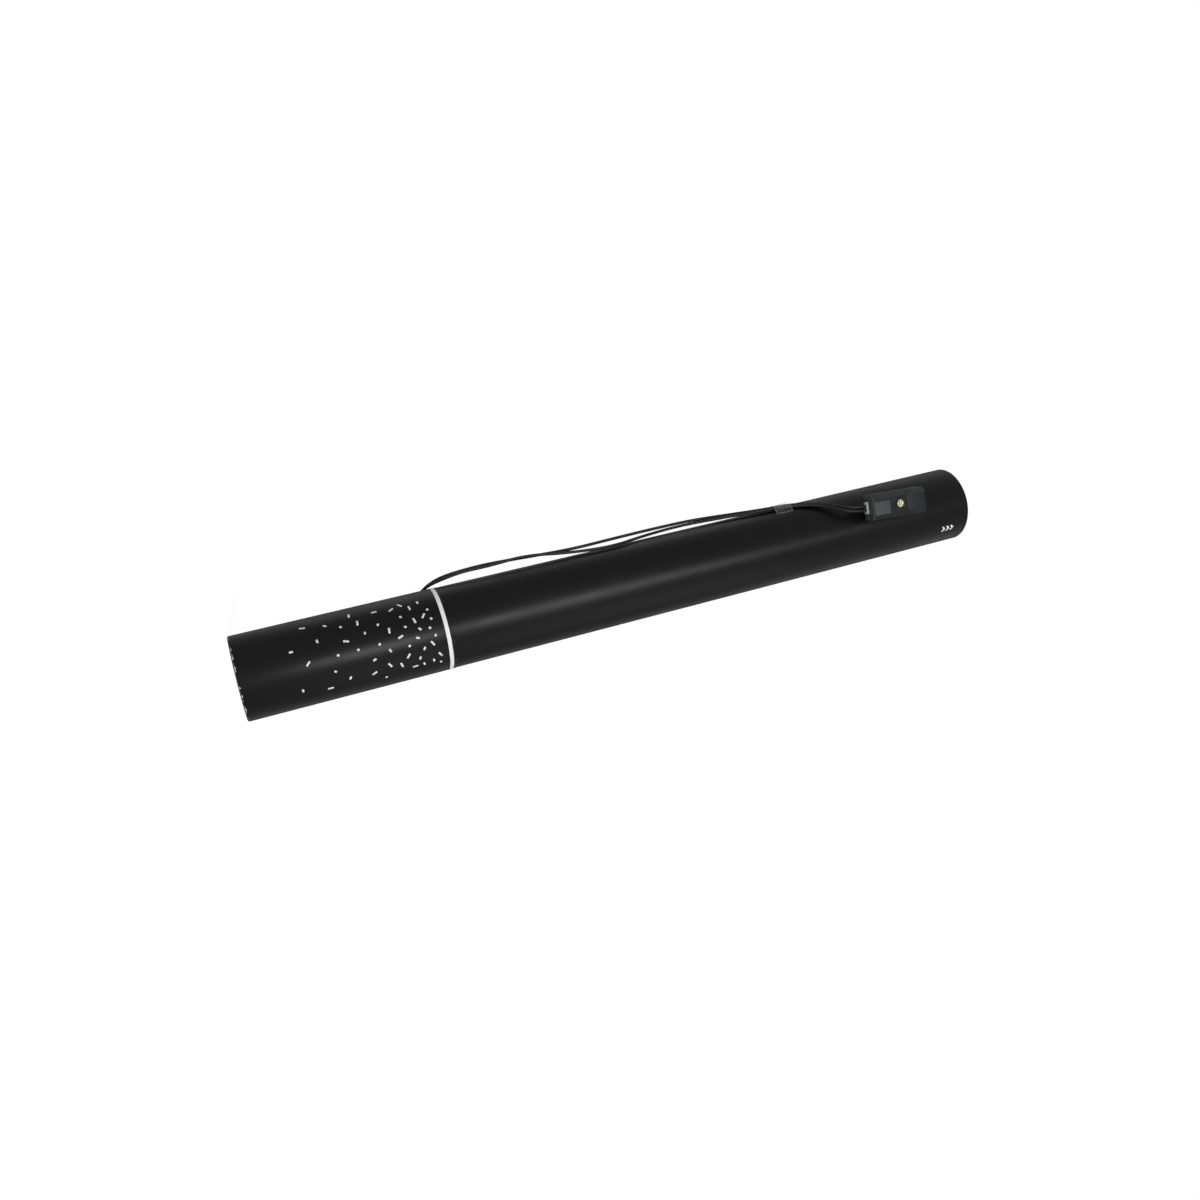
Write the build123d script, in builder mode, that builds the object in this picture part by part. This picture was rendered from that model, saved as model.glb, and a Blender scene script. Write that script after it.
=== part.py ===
from build123d import *

import math
import os

# Electrically fired confetti cannon: base at z = 0, muzzle up, plug side at -Y

# Clearances and cuts that every piece shares
glue_gap = 0.05
travel_gap = 0.30
run_gap = 0.08
cut_over = 1.0
arc_share = 0.45

# Cardboard tubes, printed wrap and white band
tube_length = 500.0
tube_od = 51.0
tube_wall = 2.5
sleeve_length = 124.0
wrap_film = 0.15
wrap_foot = 0.6
band_width = 2.4
band_film = 0.12
band_margin = 1.5

# Base cap
cap_floor = 4.0
cap_skirt_height = 12.0
cap_skirt_wall = 2.0
cradle_height = 10.0
cradle_wall = 2.0
cap_rib_width = 2.0
cap_rib_count = 6

# Wire exit, a drilled hole behind the tube
exit_drop = 24.0
exit_angle = 145.0
exit_over_floor = 5.0
wire_d = 2.0
wire_pitch = 2.5
bush_web = 0.65
bush_flange = 0.7
bush_flange_rise = 0.8
bush_flange_lift = 0.1
bush_tail = 0.1
bush_run = 2.2

# Gas cylinder with its disc and seal
cylinder_room = 6.0
cylinder_wall = 1.6
cylinder_foot_radius = 3.0
neck_od = 16.0
neck_length = 12.0
mouth_d = 8.0
disc_d = 12.0
disc_thickness = 0.5
disc_recess = 0.6
seal_section = 1.8
seal_mean_d = 11.4

# Firing block
neck_grip = 10.0
floor_over_neck = 5.0
passage_d = 7.0
block_wall = 2.0
block_skirt_rise = 17.0
tower_bore = 18.2
tower_wall = 2.0
tower_rise = 33.0
vent_width = 8.0
vent_height = 4.0
vent_count = 4

# Striker, needle and spring
strike = 8.0
needle_d = 2.4
needle_tip = 3.0
needle_seat = 6.0
needle_length = 13.8
boss_d = 6.0
boss_length = 6.0
piston_thickness = 5.0
stem_d = 5.0
stem_length = 27.0
spring_wire_d = 1.4
spring_mean_d = 11.0
spring_turns = 5
quarters = 4

# Spring cap, burn filament and fuse resistor
spigot_length = 4.0
cap_flange = 3.0
stem_hole_gap = 0.2
post_reach = 7.0
post_length = 4.0
post_width = 6.0
post_height = 4.45
filament_d = 1.0
filament_length = 19.0
fuse_d = 3.2
fuse_length = 9.0
fuse_bead_d = 3.8
fuse_bead_length = 2.0
fuse_lead_d = 0.7
fuse_lead_reach = 12.7
fuse_lead_bend = 2.0
fuse_lead_drop = 9.0
crimp_d = 3.2
crimp_length = 9.0
crimp_lap = 3.0
crimp_tail = 4.0

# Inner wires: shares of the room round the tower, of the turn to the exit and of the drop to it
inner_route_shares = [(0.44, 0.91, 0.59), (0.44, 0.515, 0.27), (0.53, 0.175, 0.07)]

# Coupler that joins the two tubes round the firing block
coupler_wall = 2.0
coupler_lip = 2.0
gas_room = 10.0

# Wad, confetti and muzzle plug
wad_thickness = 10.0
card_thickness = 1.5
charge_gap = 0.3
tier_count = 6
tier_gap = 0.6
slip_width_share = 0.88
bundle_gap = 0.8
plug_disc_thickness = 1.5
plug_disc_depth = 10.0
plug_disc_wall = 1.4
plug_disc_recess = 1.5

# Inline connector at the end of the lead
connector_length = 41.5
connector_width = 17.5
connector_height = 11.5
connector_split = 5.5
connector_wall = 1.6
connector_yaw = 3.4
connector_roll = -18.0
connector_shift = 12.6
connector_lift = 0.2
connector_z = 437.0
bevel_width = 3.2
bevel_height = 2.5
nose_length = 15.0
nose_depth = 11.5
nose_wall = 2.0
nose_spigot = 2.0
pin_d = 2.4
pin_pitch = 8.6
pin_short = 1.2
blade_thickness = 1.2
blade_height = 3.2
terminal_length = 5.0
terminal_width = 3.2
terminal_height = 4.4
terminal_screw_d = 1.8
terminal_head_d = 2.8
terminal_head = 1.0
cover_screw_d = 2.5
cover_head_d = 5.0
cover_head = 1.5
cover_head_sink = 0.9
cover_slot_width = 0.8
cover_slot_depth = 0.7
screw_boss_d = 5.2
screw_bite = 4.0
grip_width = 8.0
grip_height = 3.0
grip_out = 1.5
grip_in = 3.0
tail_room = 8.0
tail_bend = 4.0
tail_straight_share = 0.35
pad_length = 12.2
pad_width = 8.8
pad_thickness = 0.6
pad_margin = 0.4
pad_drop = 1.1
pip_d = 0.8
pip_height = 0.3
pip_columns = 8
pip_rows = 6
pip_pitch = 1.45
foam_length = 26.0
foam_width = 7.0
foam_edge = 0.75

# Straight ends of the lead, at the bush and at the connector
lead_out = 6.6
lead_in = 6.8

# Clear tape that holds the lead to the tube
tape_z = 357.8
tape_width = 12.5
tape_film = 0.2
tape_rise = 2.7
tape_start = 42.0
tape_lift_start = 44.5
tape_top_start = 48.5
tape_top_end = 63.0
tape_lift_end = 67.5
tape_end = 112.0

# Sizes that follow from the ones above
tube_or = tube_od / 2
tube_ir = tube_or - tube_wall
wrap_or = tube_or + glue_gap + wrap_film
band_top = sleeve_length - band_margin
cylinder_r = tube_ir - cylinder_room
coupler_or = tube_ir - glue_gap
coupler_ir = coupler_or - coupler_wall
exit_z = sleeve_length - exit_drop
floor_top = exit_z - exit_over_floor
neck_top = floor_top - floor_over_neck
block_bottom = neck_top - neck_grip
block_or = coupler_ir - glue_gap
tower_or = tower_bore / 2 + tower_wall
tower_top = floor_top + tower_rise
piston_bottom = floor_top + vent_height + strike
boss_bottom = piston_bottom - boss_length
needle_foot = boss_bottom + needle_seat - glue_gap - needle_length
piston_top = piston_bottom + piston_thickness
stem_top = piston_top + stem_length
spigot_bottom = tower_top - spigot_length
cap_flange_top = tower_top + cap_flange
filament_z = cap_flange_top + post_height + glue_gap + filament_d / 2
fuse_z = filament_z + filament_d / 2 + glue_gap + fuse_bead_d / 2
fuse_top = fuse_z + fuse_bead_d / 2
coupler_bottom = block_bottom - coupler_lip
coupler_top = max(fuse_top, stem_top) + gas_room
charge_or = tube_ir - travel_gap
wad_bottom = coupler_top + glue_gap
card_bottom = wad_bottom + wad_thickness
charge_bottom = card_bottom + card_thickness + charge_gap
muzzle_plug_top = tube_length - plug_disc_recess
muzzle_plug_bottom = muzzle_plug_top - plug_disc_depth
tier_pitch = (muzzle_plug_bottom - charge_bottom) / tier_count
wire_r = wire_d / 2
bush_r = wire_pitch / 2 + wire_r + bush_web
bush_hole_r = bush_r + glue_gap
bush_face = wrap_or + bush_flange_lift + bush_flange_rise


# Direction at a turn round the tube: 0 degrees is -Y, 90 degrees is -X
def around(radius, degrees, z):
    turn = math.radians(degrees)
    return Vector(-radius * math.sin(turn), -radius * math.cos(turn), z)


def save(piece, name):
    piece.part.label = name
    export_step(piece.part, f"parts/{name}.step")


# The exit's own frame: local x runs out through the hole, local z is the tube's axis
exit_frame = Plane(origin=(0, 0, 0), x_dir=around(1, exit_angle, 0), z_dir=(0, 0, 1))
exit_bore = Plane(origin=(0, 0, exit_z), x_dir=(0, 0, 1), z_dir=around(1, exit_angle, 0))


def at_exit(out, side, z):
    return exit_frame.from_local_coords(Vector(out, side, z))


# The connector's frame: local x is its axis, local y crosses the tube, local z points away from it
yaw = math.radians(connector_yaw)
connector_out = around(1, connector_roll, 0)
connector_side = around(1, connector_roll + 90, 0)
connector_foot = tube_or + connector_lift
connector = Plane(
    origin=connector_out * connector_foot + connector_side * connector_shift + Vector(0, 0, connector_z),
    x_dir=Vector(0, 0, 1) * math.cos(yaw) - connector_side * math.sin(yaw),
    z_dir=connector_out,
)
connector_rear = -connector_length / 2
nose_rear = connector_length / 2 - nose_length
shell_front = nose_rear - glue_gap


def at_connector(along, across, out):
    return connector.from_local_coords(Vector(along, across, out))


# A cross-section plane of the connector: sketch x crosses the tube, sketch y points away from it
def connector_section(along):
    return Plane(origin=at_connector(along, 0, 0), x_dir=connector.y_dir, z_dir=connector.x_dir)


# Each arc of a cord is as large as its two runs allow
def corner_radii(points):
    radii = []
    for before, corner, after in zip(points, points[1:], points[2:]):
        run_in = corner - before
        run_out = after - corner
        half_turn = math.radians(run_in.get_angle(run_out)) / 2
        radii.append(arc_share * min(run_in.length, run_out.length) / math.tan(half_turn))
    return radii


def tell_cord(name, line, piece, radii, diameter):
    section = math.pi * diameter**2 / 4
    print(name, "length", round(line.length, 1), "volume share", round(piece.volume / (section * line.length), 4))
    print(name, "radii", [round(radius, 1) for radius in radii])


# Two arcs that leave one point and reach the next along the given directions
def biarc(start, start_way, end, end_way):
    across = end - start
    ways = start_way + end_way
    bend = 2 * (1 - start_way.dot(end_way))
    lean = across.dot(ways)
    reach = (math.sqrt(lean**2 + bend * across.dot(across)) - lean) / bend
    first = start + start_way * reach
    second = end - end_way * reach
    middle = (first + second) * 0.5
    TangentArc(start, middle, tangent=start_way)
    TangentArc(middle, end, tangent=second - first)


os.makedirs("parts", exist_ok=True)

# Base sleeve, the lower cardboard tube
with BuildPart() as base_sleeve:
    with BuildSketch(Plane.XY):
        Circle(tube_or)
        Circle(tube_ir, mode=Mode.SUBTRACT)
    extrude(amount=sleeve_length)
    with BuildSketch(exit_bore):
        Circle(bush_hole_r)
    extrude(amount=tube_or + cut_over, mode=Mode.SUBTRACT)
save(base_sleeve, "base_sleeve")

# Printed wrap round the base sleeve
with BuildPart() as base_wrap:
    with BuildSketch(Plane.XY.offset(wrap_foot)):
        Circle(wrap_or)
        Circle(tube_or + glue_gap, mode=Mode.SUBTRACT)
    extrude(amount=sleeve_length - wrap_foot)
    with BuildSketch(exit_bore):
        Circle(bush_hole_r)
    extrude(amount=wrap_or + cut_over, mode=Mode.SUBTRACT)
save(base_wrap, "base_wrap")

# White band near the wrap's upper edge
with BuildPart() as white_band:
    with BuildSketch(Plane.XY.offset(band_top - band_width)):
        Circle(wrap_or + glue_gap + band_film)
        Circle(wrap_or + glue_gap, mode=Mode.SUBTRACT)
    extrude(amount=band_width)
save(white_band, "white_band")

# Barrel, the upper cardboard tube
with BuildPart() as barrel_tube:
    with BuildSketch(Plane.XY.offset(sleeve_length + glue_gap)):
        Circle(tube_or)
        Circle(tube_ir, mode=Mode.SUBTRACT)
    extrude(amount=tube_length - sleeve_length - glue_gap)
save(barrel_tube, "barrel_tube")

# Coupler glued inside both tubes
with BuildPart() as joint_coupler:
    with BuildSketch(Plane.XY.offset(coupler_bottom)):
        Circle(coupler_or)
        Circle(coupler_ir, mode=Mode.SUBTRACT)
    extrude(amount=coupler_top - coupler_bottom)
    with BuildSketch(exit_bore):
        Circle(bush_hole_r)
    extrude(amount=coupler_or + cut_over, mode=Mode.SUBTRACT)
save(joint_coupler, "joint_coupler")

# Base cap with a ribbed cradle for the gas cylinder
cap_or = tube_ir - glue_gap
cradle_ir = cylinder_r + glue_gap
cradle_or = cradle_ir + cradle_wall
rib_length = cap_or - cap_skirt_wall / 2 - (cradle_or - cradle_wall / 2)
with BuildPart() as base_cap:
    with BuildSketch(Plane.XY):
        Circle(cap_or)
    extrude(amount=cap_floor)
    with BuildSketch(Plane.XY.offset(cap_floor)):
        Circle(cap_or)
        Circle(cap_or - cap_skirt_wall, mode=Mode.SUBTRACT)
    extrude(amount=cap_skirt_height)
    with BuildSketch(Plane.XY.offset(cap_floor)):
        Circle(cradle_or)
        with PolarLocations(cradle_or - cradle_wall / 2, cap_rib_count):
            Rectangle(rib_length, cap_rib_width, align=(Align.MIN, Align.CENTER))
        Circle(cradle_ir, mode=Mode.SUBTRACT)
    extrude(amount=cradle_height)
save(base_cap, "base_cap")

# Gas cylinder, a drawn steel bottle with a shouldered neck
neck_r = neck_od / 2
mouth_r = mouth_d / 2
shoulder_r = cylinder_r - neck_r
shoulder_z = neck_top - neck_length - shoulder_r
inner_foot_r = cylinder_foot_radius - cylinder_wall
inner_shoulder_r = shoulder_r - cylinder_wall
inner_r = cylinder_r - cylinder_wall
inner_floor = cap_floor + cylinder_wall
disc_seat = neck_top - disc_recess
disc_seat_r = disc_d / 2 + glue_gap
with BuildPart() as gas_cylinder:
    with BuildSketch(Plane.XZ):
        with BuildLine():
            Line((0, cap_floor), (cylinder_r - cylinder_foot_radius, cap_floor))
            RadiusArc(
                (cylinder_r - cylinder_foot_radius, cap_floor),
                (cylinder_r, cap_floor + cylinder_foot_radius),
                -cylinder_foot_radius,
            )
            Line((cylinder_r, cap_floor + cylinder_foot_radius), (cylinder_r, shoulder_z))
            RadiusArc((cylinder_r, shoulder_z), (neck_r, shoulder_z + shoulder_r), -shoulder_r)
            Polyline(
                (neck_r, shoulder_z + shoulder_r),
                (neck_r, neck_top),
                (disc_seat_r, neck_top),
                (disc_seat_r, disc_seat),
                (mouth_r, disc_seat),
                (mouth_r, shoulder_z + inner_shoulder_r),
                (neck_r, shoulder_z + inner_shoulder_r),
            )
            RadiusArc((neck_r, shoulder_z + inner_shoulder_r), (inner_r, shoulder_z), inner_shoulder_r)
            Line((inner_r, shoulder_z), (inner_r, inner_floor + inner_foot_r))
            RadiusArc(
                (inner_r, inner_floor + inner_foot_r),
                (inner_r - inner_foot_r, inner_floor),
                inner_foot_r,
            )
            Polyline((inner_r - inner_foot_r, inner_floor), (0, inner_floor), (0, cap_floor))
        make_face()
    revolve(axis=Axis.Z)
save(gas_cylinder, "gas_cylinder")

# Thin disc that closes the cylinder until the needle goes through it
with BuildPart() as pierce_disc:
    with BuildSketch(Plane.XY.offset(disc_seat)):
        Circle(disc_d / 2)
    extrude(amount=disc_thickness)
save(pierce_disc, "pierce_disc")

# Seal ring on the cylinder's neck
with BuildPart() as neck_seal:
    with BuildSketch(Plane.XZ):
        with Locations((seal_mean_d / 2, neck_top + seal_section / 2)):
            Circle(seal_section / 2)
    revolve(axis=Axis.Z)
save(neck_seal, "neck_seal")

# Firing block: neck socket below, striker tower above, gas vents at the tower's foot
socket_r = neck_r + run_gap
socket_top = neck_top + seal_section + glue_gap
with BuildPart() as firing_block:
    with BuildSketch(Plane.XY.offset(block_bottom)):
        Circle(block_or)
    extrude(amount=floor_top - block_bottom)
    with BuildSketch(Plane.XY.offset(floor_top)):
        Circle(block_or)
        Circle(block_or - block_wall, mode=Mode.SUBTRACT)
    extrude(amount=block_skirt_rise)
    with BuildSketch(Plane.XY.offset(floor_top)):
        Circle(tower_or)
        Circle(tower_bore / 2, mode=Mode.SUBTRACT)
    extrude(amount=tower_rise)
    with BuildSketch(Plane.XY.offset(block_bottom)):
        Circle(socket_r)
    extrude(amount=socket_top - block_bottom, mode=Mode.SUBTRACT)
    with BuildSketch(Plane.XY.offset(socket_top)):
        Circle(passage_d / 2)
    extrude(amount=floor_top - socket_top + cut_over, mode=Mode.SUBTRACT)
    with BuildSketch(Plane.XY.offset(floor_top)):
        with PolarLocations(tower_bore / 2 - cut_over, vent_count):
            Rectangle(tower_wall + 2 * cut_over, vent_width, align=(Align.MIN, Align.CENTER))
    extrude(amount=vent_height, mode=Mode.SUBTRACT)
    with BuildSketch(exit_bore.offset(tower_or + cut_over)):
        Circle(bush_hole_r)
    extrude(amount=block_or - tower_or, mode=Mode.SUBTRACT)
save(firing_block, "firing_block")

# Striker: a piston with a stem that the burn filament holds up
piston_r = tower_bore / 2 - run_gap
filament_hole_r = filament_d / 2 + glue_gap
with BuildPart() as striker:
    with BuildSketch(Plane.XY.offset(boss_bottom)):
        Circle(boss_d / 2)
    extrude(amount=boss_length)
    with BuildSketch(Plane.XY.offset(piston_bottom)):
        Circle(piston_r)
    extrude(amount=piston_thickness)
    with BuildSketch(Plane.XY.offset(piston_top)):
        Circle(stem_d / 2)
    extrude(amount=stem_length)
    with BuildSketch(Plane.XY.offset(boss_bottom)):
        Circle(needle_d / 2 + glue_gap)
    extrude(amount=needle_seat, mode=Mode.SUBTRACT)
    with BuildSketch(Plane(origin=(0, 0, filament_z), x_dir=(0, 0, 1), z_dir=exit_frame.x_dir)):
        Circle(filament_hole_r)
    extrude(amount=stem_d / 2 + cut_over, both=True, mode=Mode.SUBTRACT)
save(striker, "striker")

# Piercing needle in the striker's boss
with BuildPart() as striker_needle:
    with BuildSketch(Plane.XZ):
        with BuildLine():
            Polyline(
                (0, needle_foot),
                (needle_d / 2, needle_foot + needle_tip),
                (needle_d / 2, needle_foot + needle_length),
                (0, needle_foot + needle_length),
                (0, needle_foot),
            )
        make_face()
    revolve(axis=Axis.Z)
save(striker_needle, "striker_needle")

# Striker spring, one unbroken wire between the piston and the cap's spigot
spring_r = spring_mean_d / 2
spring_low = piston_top + glue_gap + spring_wire_d / 2
spring_high = spigot_bottom - glue_gap - spring_wire_d / 2
spring_pitch = (spring_high - spring_low) / spring_turns
climb = spring_pitch / (2 * math.pi)
coil_points = []
coil_ways = []
for step in range(quarters * spring_turns + 1):
    turn = 2 * math.pi * step / quarters
    height = spring_low + spring_pitch * step / quarters
    coil_points.append(Vector(spring_r * math.cos(turn), spring_r * math.sin(turn), height))
    coil_ways.append(Vector(-spring_r * math.sin(turn), spring_r * math.cos(turn), climb).normalized())
with BuildPart() as striker_spring:
    with BuildLine() as coil:
        for step in range(quarters * spring_turns):
            biarc(coil_points[step], coil_ways[step], coil_points[step + 1], coil_ways[step + 1])
    with BuildSketch(Plane(origin=coil_points[0], z_dir=coil_ways[0])):
        Circle(spring_wire_d / 2)
    sweep(path=coil.wires()[0])
print("spring gap between turns", round(spring_pitch - spring_wire_d, 2))
save(striker_spring, "striker_spring")

# Spring cap with two posts that carry the burn filament
with BuildPart() as spring_cap:
    with BuildSketch(Plane.XY.offset(spigot_bottom)):
        Circle(tower_bore / 2 - glue_gap)
    extrude(amount=spigot_length)
    with BuildSketch(Plane.XY.offset(tower_top)):
        Circle(tower_or)
    extrude(amount=cap_flange)
    with BuildSketch(Plane(origin=(0, 0, cap_flange_top), x_dir=exit_frame.x_dir, z_dir=(0, 0, 1))):
        with GridLocations(2 * post_reach, 0, 2, 1):
            Rectangle(post_length, post_width)
    extrude(amount=post_height)
    with BuildSketch(Plane.XY.offset(spigot_bottom)):
        Circle(stem_d / 2 + stem_hole_gap)
    extrude(amount=cap_flange_top - spigot_bottom, mode=Mode.SUBTRACT)
save(spring_cap, "spring_cap")

# Nylon filament through the stem, which the resistor burns
with BuildPart() as burn_filament:
    with BuildSketch(Plane(origin=(0, 0, filament_z), x_dir=(0, 0, 1), z_dir=exit_frame.x_dir)):
        Circle(filament_d / 2)
    extrude(amount=filament_length / 2, both=True)
save(burn_filament, "burn_filament")

# Fuse resistor across the filament, with its bent leads
fuse_ends = [
    at_exit(post_reach, -fuse_lead_reach, fuse_z - fuse_lead_drop),
    at_exit(post_reach, -fuse_lead_reach, fuse_z),
    at_exit(post_reach, fuse_lead_reach, fuse_z),
    at_exit(post_reach, fuse_lead_reach, fuse_z - fuse_lead_drop),
]
fuse_middle = Plane(origin=at_exit(post_reach, 0, fuse_z), x_dir=(0, 0, 1), z_dir=exit_frame.y_dir)
with BuildPart() as fuse_resistor:
    with BuildSketch(fuse_middle):
        Circle(fuse_d / 2)
    extrude(amount=fuse_length / 2, both=True)
    for end in (-1, 1):
        with BuildSketch(fuse_middle.offset(end * (fuse_length - fuse_bead_length) / 2)):
            Circle(fuse_bead_d / 2)
        extrude(amount=fuse_bead_length / 2, both=True)
    with BuildLine() as fuse_lead:
        FilletPolyline(*fuse_ends, radius=fuse_lead_bend)
    with BuildSketch(Plane(origin=fuse_ends[0], z_dir=(0, 0, 1))):
        Circle(fuse_lead_d / 2)
    sweep(path=fuse_lead.wires()[0])
save(fuse_resistor, "fuse_resistor")

# Crimp sleeves that join the resistor's leads to the wires
crimp_bottom = fuse_z - fuse_lead_drop + crimp_lap - crimp_length
crimp_wire_end = crimp_bottom + crimp_length / 2
with BuildPart() as crimp_sleeves:
    for side in (-1, 1):
        foot = at_exit(post_reach, side * fuse_lead_reach, crimp_bottom)
        with BuildSketch(Plane(origin=foot, z_dir=(0, 0, 1))):
            Circle(crimp_d / 2)
        extrude(amount=crimp_length)
        with BuildSketch(Plane(origin=foot, z_dir=(0, 0, 1))):
            Circle(wire_r + glue_gap)
        extrude(amount=crimp_length / 2, mode=Mode.SUBTRACT)
        with BuildSketch(Plane(origin=foot, z_dir=(0, 0, 1))):
            Circle(fuse_lead_d / 2 + glue_gap)
        extrude(amount=crimp_length + cut_over, mode=Mode.SUBTRACT)
save(crimp_sleeves, "crimp_sleeves")

# Wires inside the tube, from the crimps to the outer face of the exit bush
bush_inner = block_or - block_wall - bush_tail
wire_room = block_or - block_wall - tower_or
wire_turn = math.atan2(fuse_lead_reach, post_reach)
wire_drop = crimp_bottom - crimp_tail - exit_z
with BuildPart() as inner_wires:
    for side in (-1, 1):
        wire_z = exit_z + side * wire_pitch / 2
        crimp_aside = side * fuse_lead_reach
        points = [
            at_exit(post_reach, crimp_aside, crimp_wire_end - glue_gap),
            at_exit(post_reach, crimp_aside, crimp_bottom - crimp_tail),
        ]
        for room_share, turn_share, drop_share in inner_route_shares:
            reach = tower_or + wire_room * room_share
            turn = side * wire_turn * turn_share
            height = wire_z + wire_drop * drop_share
            points.append(at_exit(reach * math.cos(turn), reach * math.sin(turn), height))
        points.append(at_exit(bush_inner - bush_run, 0, wire_z))
        points.append(at_exit(bush_face, 0, wire_z))
        with BuildLine() as inner_line:
            FilletPolyline(*points, radius=corner_radii(points))
        with BuildSketch(Plane(origin=points[0], z_dir=points[1] - points[0])):
            Circle(wire_r)
        sweep(path=inner_line.wires()[0])
save(inner_wires, "inner_wires")

# Exit bush that seals the two wires in the tube's wall
with BuildPart() as exit_bush:
    with BuildSketch(exit_bore.offset(bush_inner)):
        Circle(bush_r)
    extrude(amount=bush_face - bush_inner)
    with BuildSketch(exit_bore.offset(bush_face - bush_flange_rise)):
        Circle(bush_r + bush_flange)
    extrude(amount=bush_flange_rise)
    with BuildSketch(exit_bore.offset(bush_inner - cut_over)):
        with GridLocations(wire_pitch, 0, 2, 1):
            Circle(wire_r + glue_gap)
    extrude(amount=bush_face - bush_inner + 2 * cut_over, mode=Mode.SUBTRACT)
save(exit_bush, "exit_bush")

# Foam wad that the gas drives up the barrel
with BuildPart() as pusher_wad:
    with BuildSketch(Plane.XY.offset(wad_bottom)):
        Circle(charge_or)
    extrude(amount=wad_thickness)
save(pusher_wad, "pusher_wad")

# Card disc between the wad and the confetti
with BuildPart() as wad_card:
    with BuildSketch(Plane.XY.offset(card_bottom)):
        Circle(charge_or)
    extrude(amount=card_thickness)
save(wad_card, "wad_card")

# Confetti in tiers, each of four bundles of slips that stand on end
slip_width = charge_or * slip_width_share
side_bundle_depth = 2 * math.sqrt(charge_or**2 - (slip_width + bundle_gap / 2) ** 2)
face_bundle_near = side_bundle_depth / 2 + bundle_gap
face_bundle_depth = math.sqrt(charge_or**2 - (slip_width / 2) ** 2) - face_bundle_near
for tier in range(tier_count):
    with BuildPart() as confetti_tier:
        with BuildSketch(Plane.XY.offset(charge_bottom + tier * tier_pitch)):
            with GridLocations(slip_width + bundle_gap, 0, 2, 1):
                Rectangle(slip_width, side_bundle_depth)
            with GridLocations(0, 2 * face_bundle_near + face_bundle_depth, 1, 2):
                Rectangle(slip_width, face_bundle_depth)
        extrude(amount=tier_pitch - tier_gap)
    save(confetti_tier, f"confetti_tier_{tier + 1}")

# Muzzle plug, a shallow dish that the charge pushes out
with BuildPart() as muzzle_plug:
    with BuildSketch(Plane.XY.offset(muzzle_plug_bottom)):
        Circle(charge_or)
    extrude(amount=plug_disc_depth)
    with BuildSketch(Plane.XY.offset(muzzle_plug_bottom + plug_disc_thickness)):
        Circle(charge_or - plug_disc_wall)
    extrude(amount=plug_disc_depth, mode=Mode.SUBTRACT)
save(muzzle_plug, "muzzle_plug")

# Outer and inner outlines of the connector's section, with bevelled long edges
half_width = connector_width / 2
flat_half = half_width - bevel_width
bevel_foot = connector_height - bevel_height
inner_half = half_width - connector_wall
inner_flat_half = flat_half - connector_wall / 2
inner_top = connector_height - connector_wall
inner_bevel_foot = bevel_foot - connector_wall / 2
grip_middle = connector_split - grip_height / 2

# Lower shell of the connector, with the boss that takes the cover screw and a slot for the cord grip
shell_length = shell_front - connector_rear
boss_top = connector_split - glue_gap
with BuildPart() as connector_base:
    with BuildSketch(connector_section(connector_rear)):
        with Locations((0, connector_split / 2)):
            Rectangle(connector_width, connector_split)
    extrude(amount=shell_length)
    with BuildSketch(connector_section(connector_rear + connector_wall)):
        with Locations((0, connector_split)):
            Rectangle(2 * inner_half, 2 * (connector_split - connector_wall))
    extrude(amount=shell_length, mode=Mode.SUBTRACT)
    with BuildSketch(connector.offset(connector_wall)):
        Circle(screw_boss_d / 2)
    extrude(amount=boss_top - connector_wall)
    with BuildSketch(connector.offset(boss_top - screw_bite)):
        Circle(cover_screw_d / 2 + glue_gap)
    extrude(amount=screw_bite + cut_over, mode=Mode.SUBTRACT)
    with BuildSketch(connector_section(connector_rear - cut_over)):
        with Locations((0, grip_middle)):
            Rectangle(grip_width + 2 * glue_gap, grip_height + 2 * glue_gap)
    extrude(amount=connector_wall + 2 * cut_over, mode=Mode.SUBTRACT)
save(connector_base, "connector_base")

# Upper shell of the connector, with its screw pillar
cover_foot = connector_split + glue_gap
pillar_r = cover_head_d / 2 + connector_wall / 2
head_seat = connector_height - cover_head_sink
with BuildPart() as connector_cover:
    with BuildSketch(connector_section(connector_rear)):
        with BuildLine():
            Polyline(
                (-half_width, cover_foot),
                (half_width, cover_foot),
                (half_width, bevel_foot),
                (flat_half, connector_height),
                (-flat_half, connector_height),
                (-half_width, bevel_foot),
                (-half_width, cover_foot),
            )
        make_face()
    extrude(amount=shell_length)
    with BuildSketch(connector_section(connector_rear + connector_wall)):
        with BuildLine():
            Polyline(
                (-inner_half, connector_split),
                (inner_half, connector_split),
                (inner_half, inner_bevel_foot),
                (inner_flat_half, inner_top),
                (-inner_flat_half, inner_top),
                (-inner_half, inner_bevel_foot),
                (-inner_half, connector_split),
            )
        make_face()
    extrude(amount=shell_length, mode=Mode.SUBTRACT)
    with BuildSketch(connector.offset(cover_foot)):
        Circle(screw_boss_d / 2)
    extrude(amount=inner_top - cover_foot)
    with BuildSketch(connector.offset(inner_top - connector_wall / 2)):
        Circle(pillar_r)
    extrude(amount=connector_wall)
    with BuildSketch(connector.offset(cover_foot - cut_over)):
        Circle(cover_screw_d / 2 + glue_gap)
    extrude(amount=connector_height, mode=Mode.SUBTRACT)
    with BuildSketch(connector.offset(head_seat)):
        Circle(cover_head_d / 2 + glue_gap)
    extrude(amount=cover_head_sink + cut_over, mode=Mode.SUBTRACT)
save(connector_cover, "connector_cover")

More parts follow.
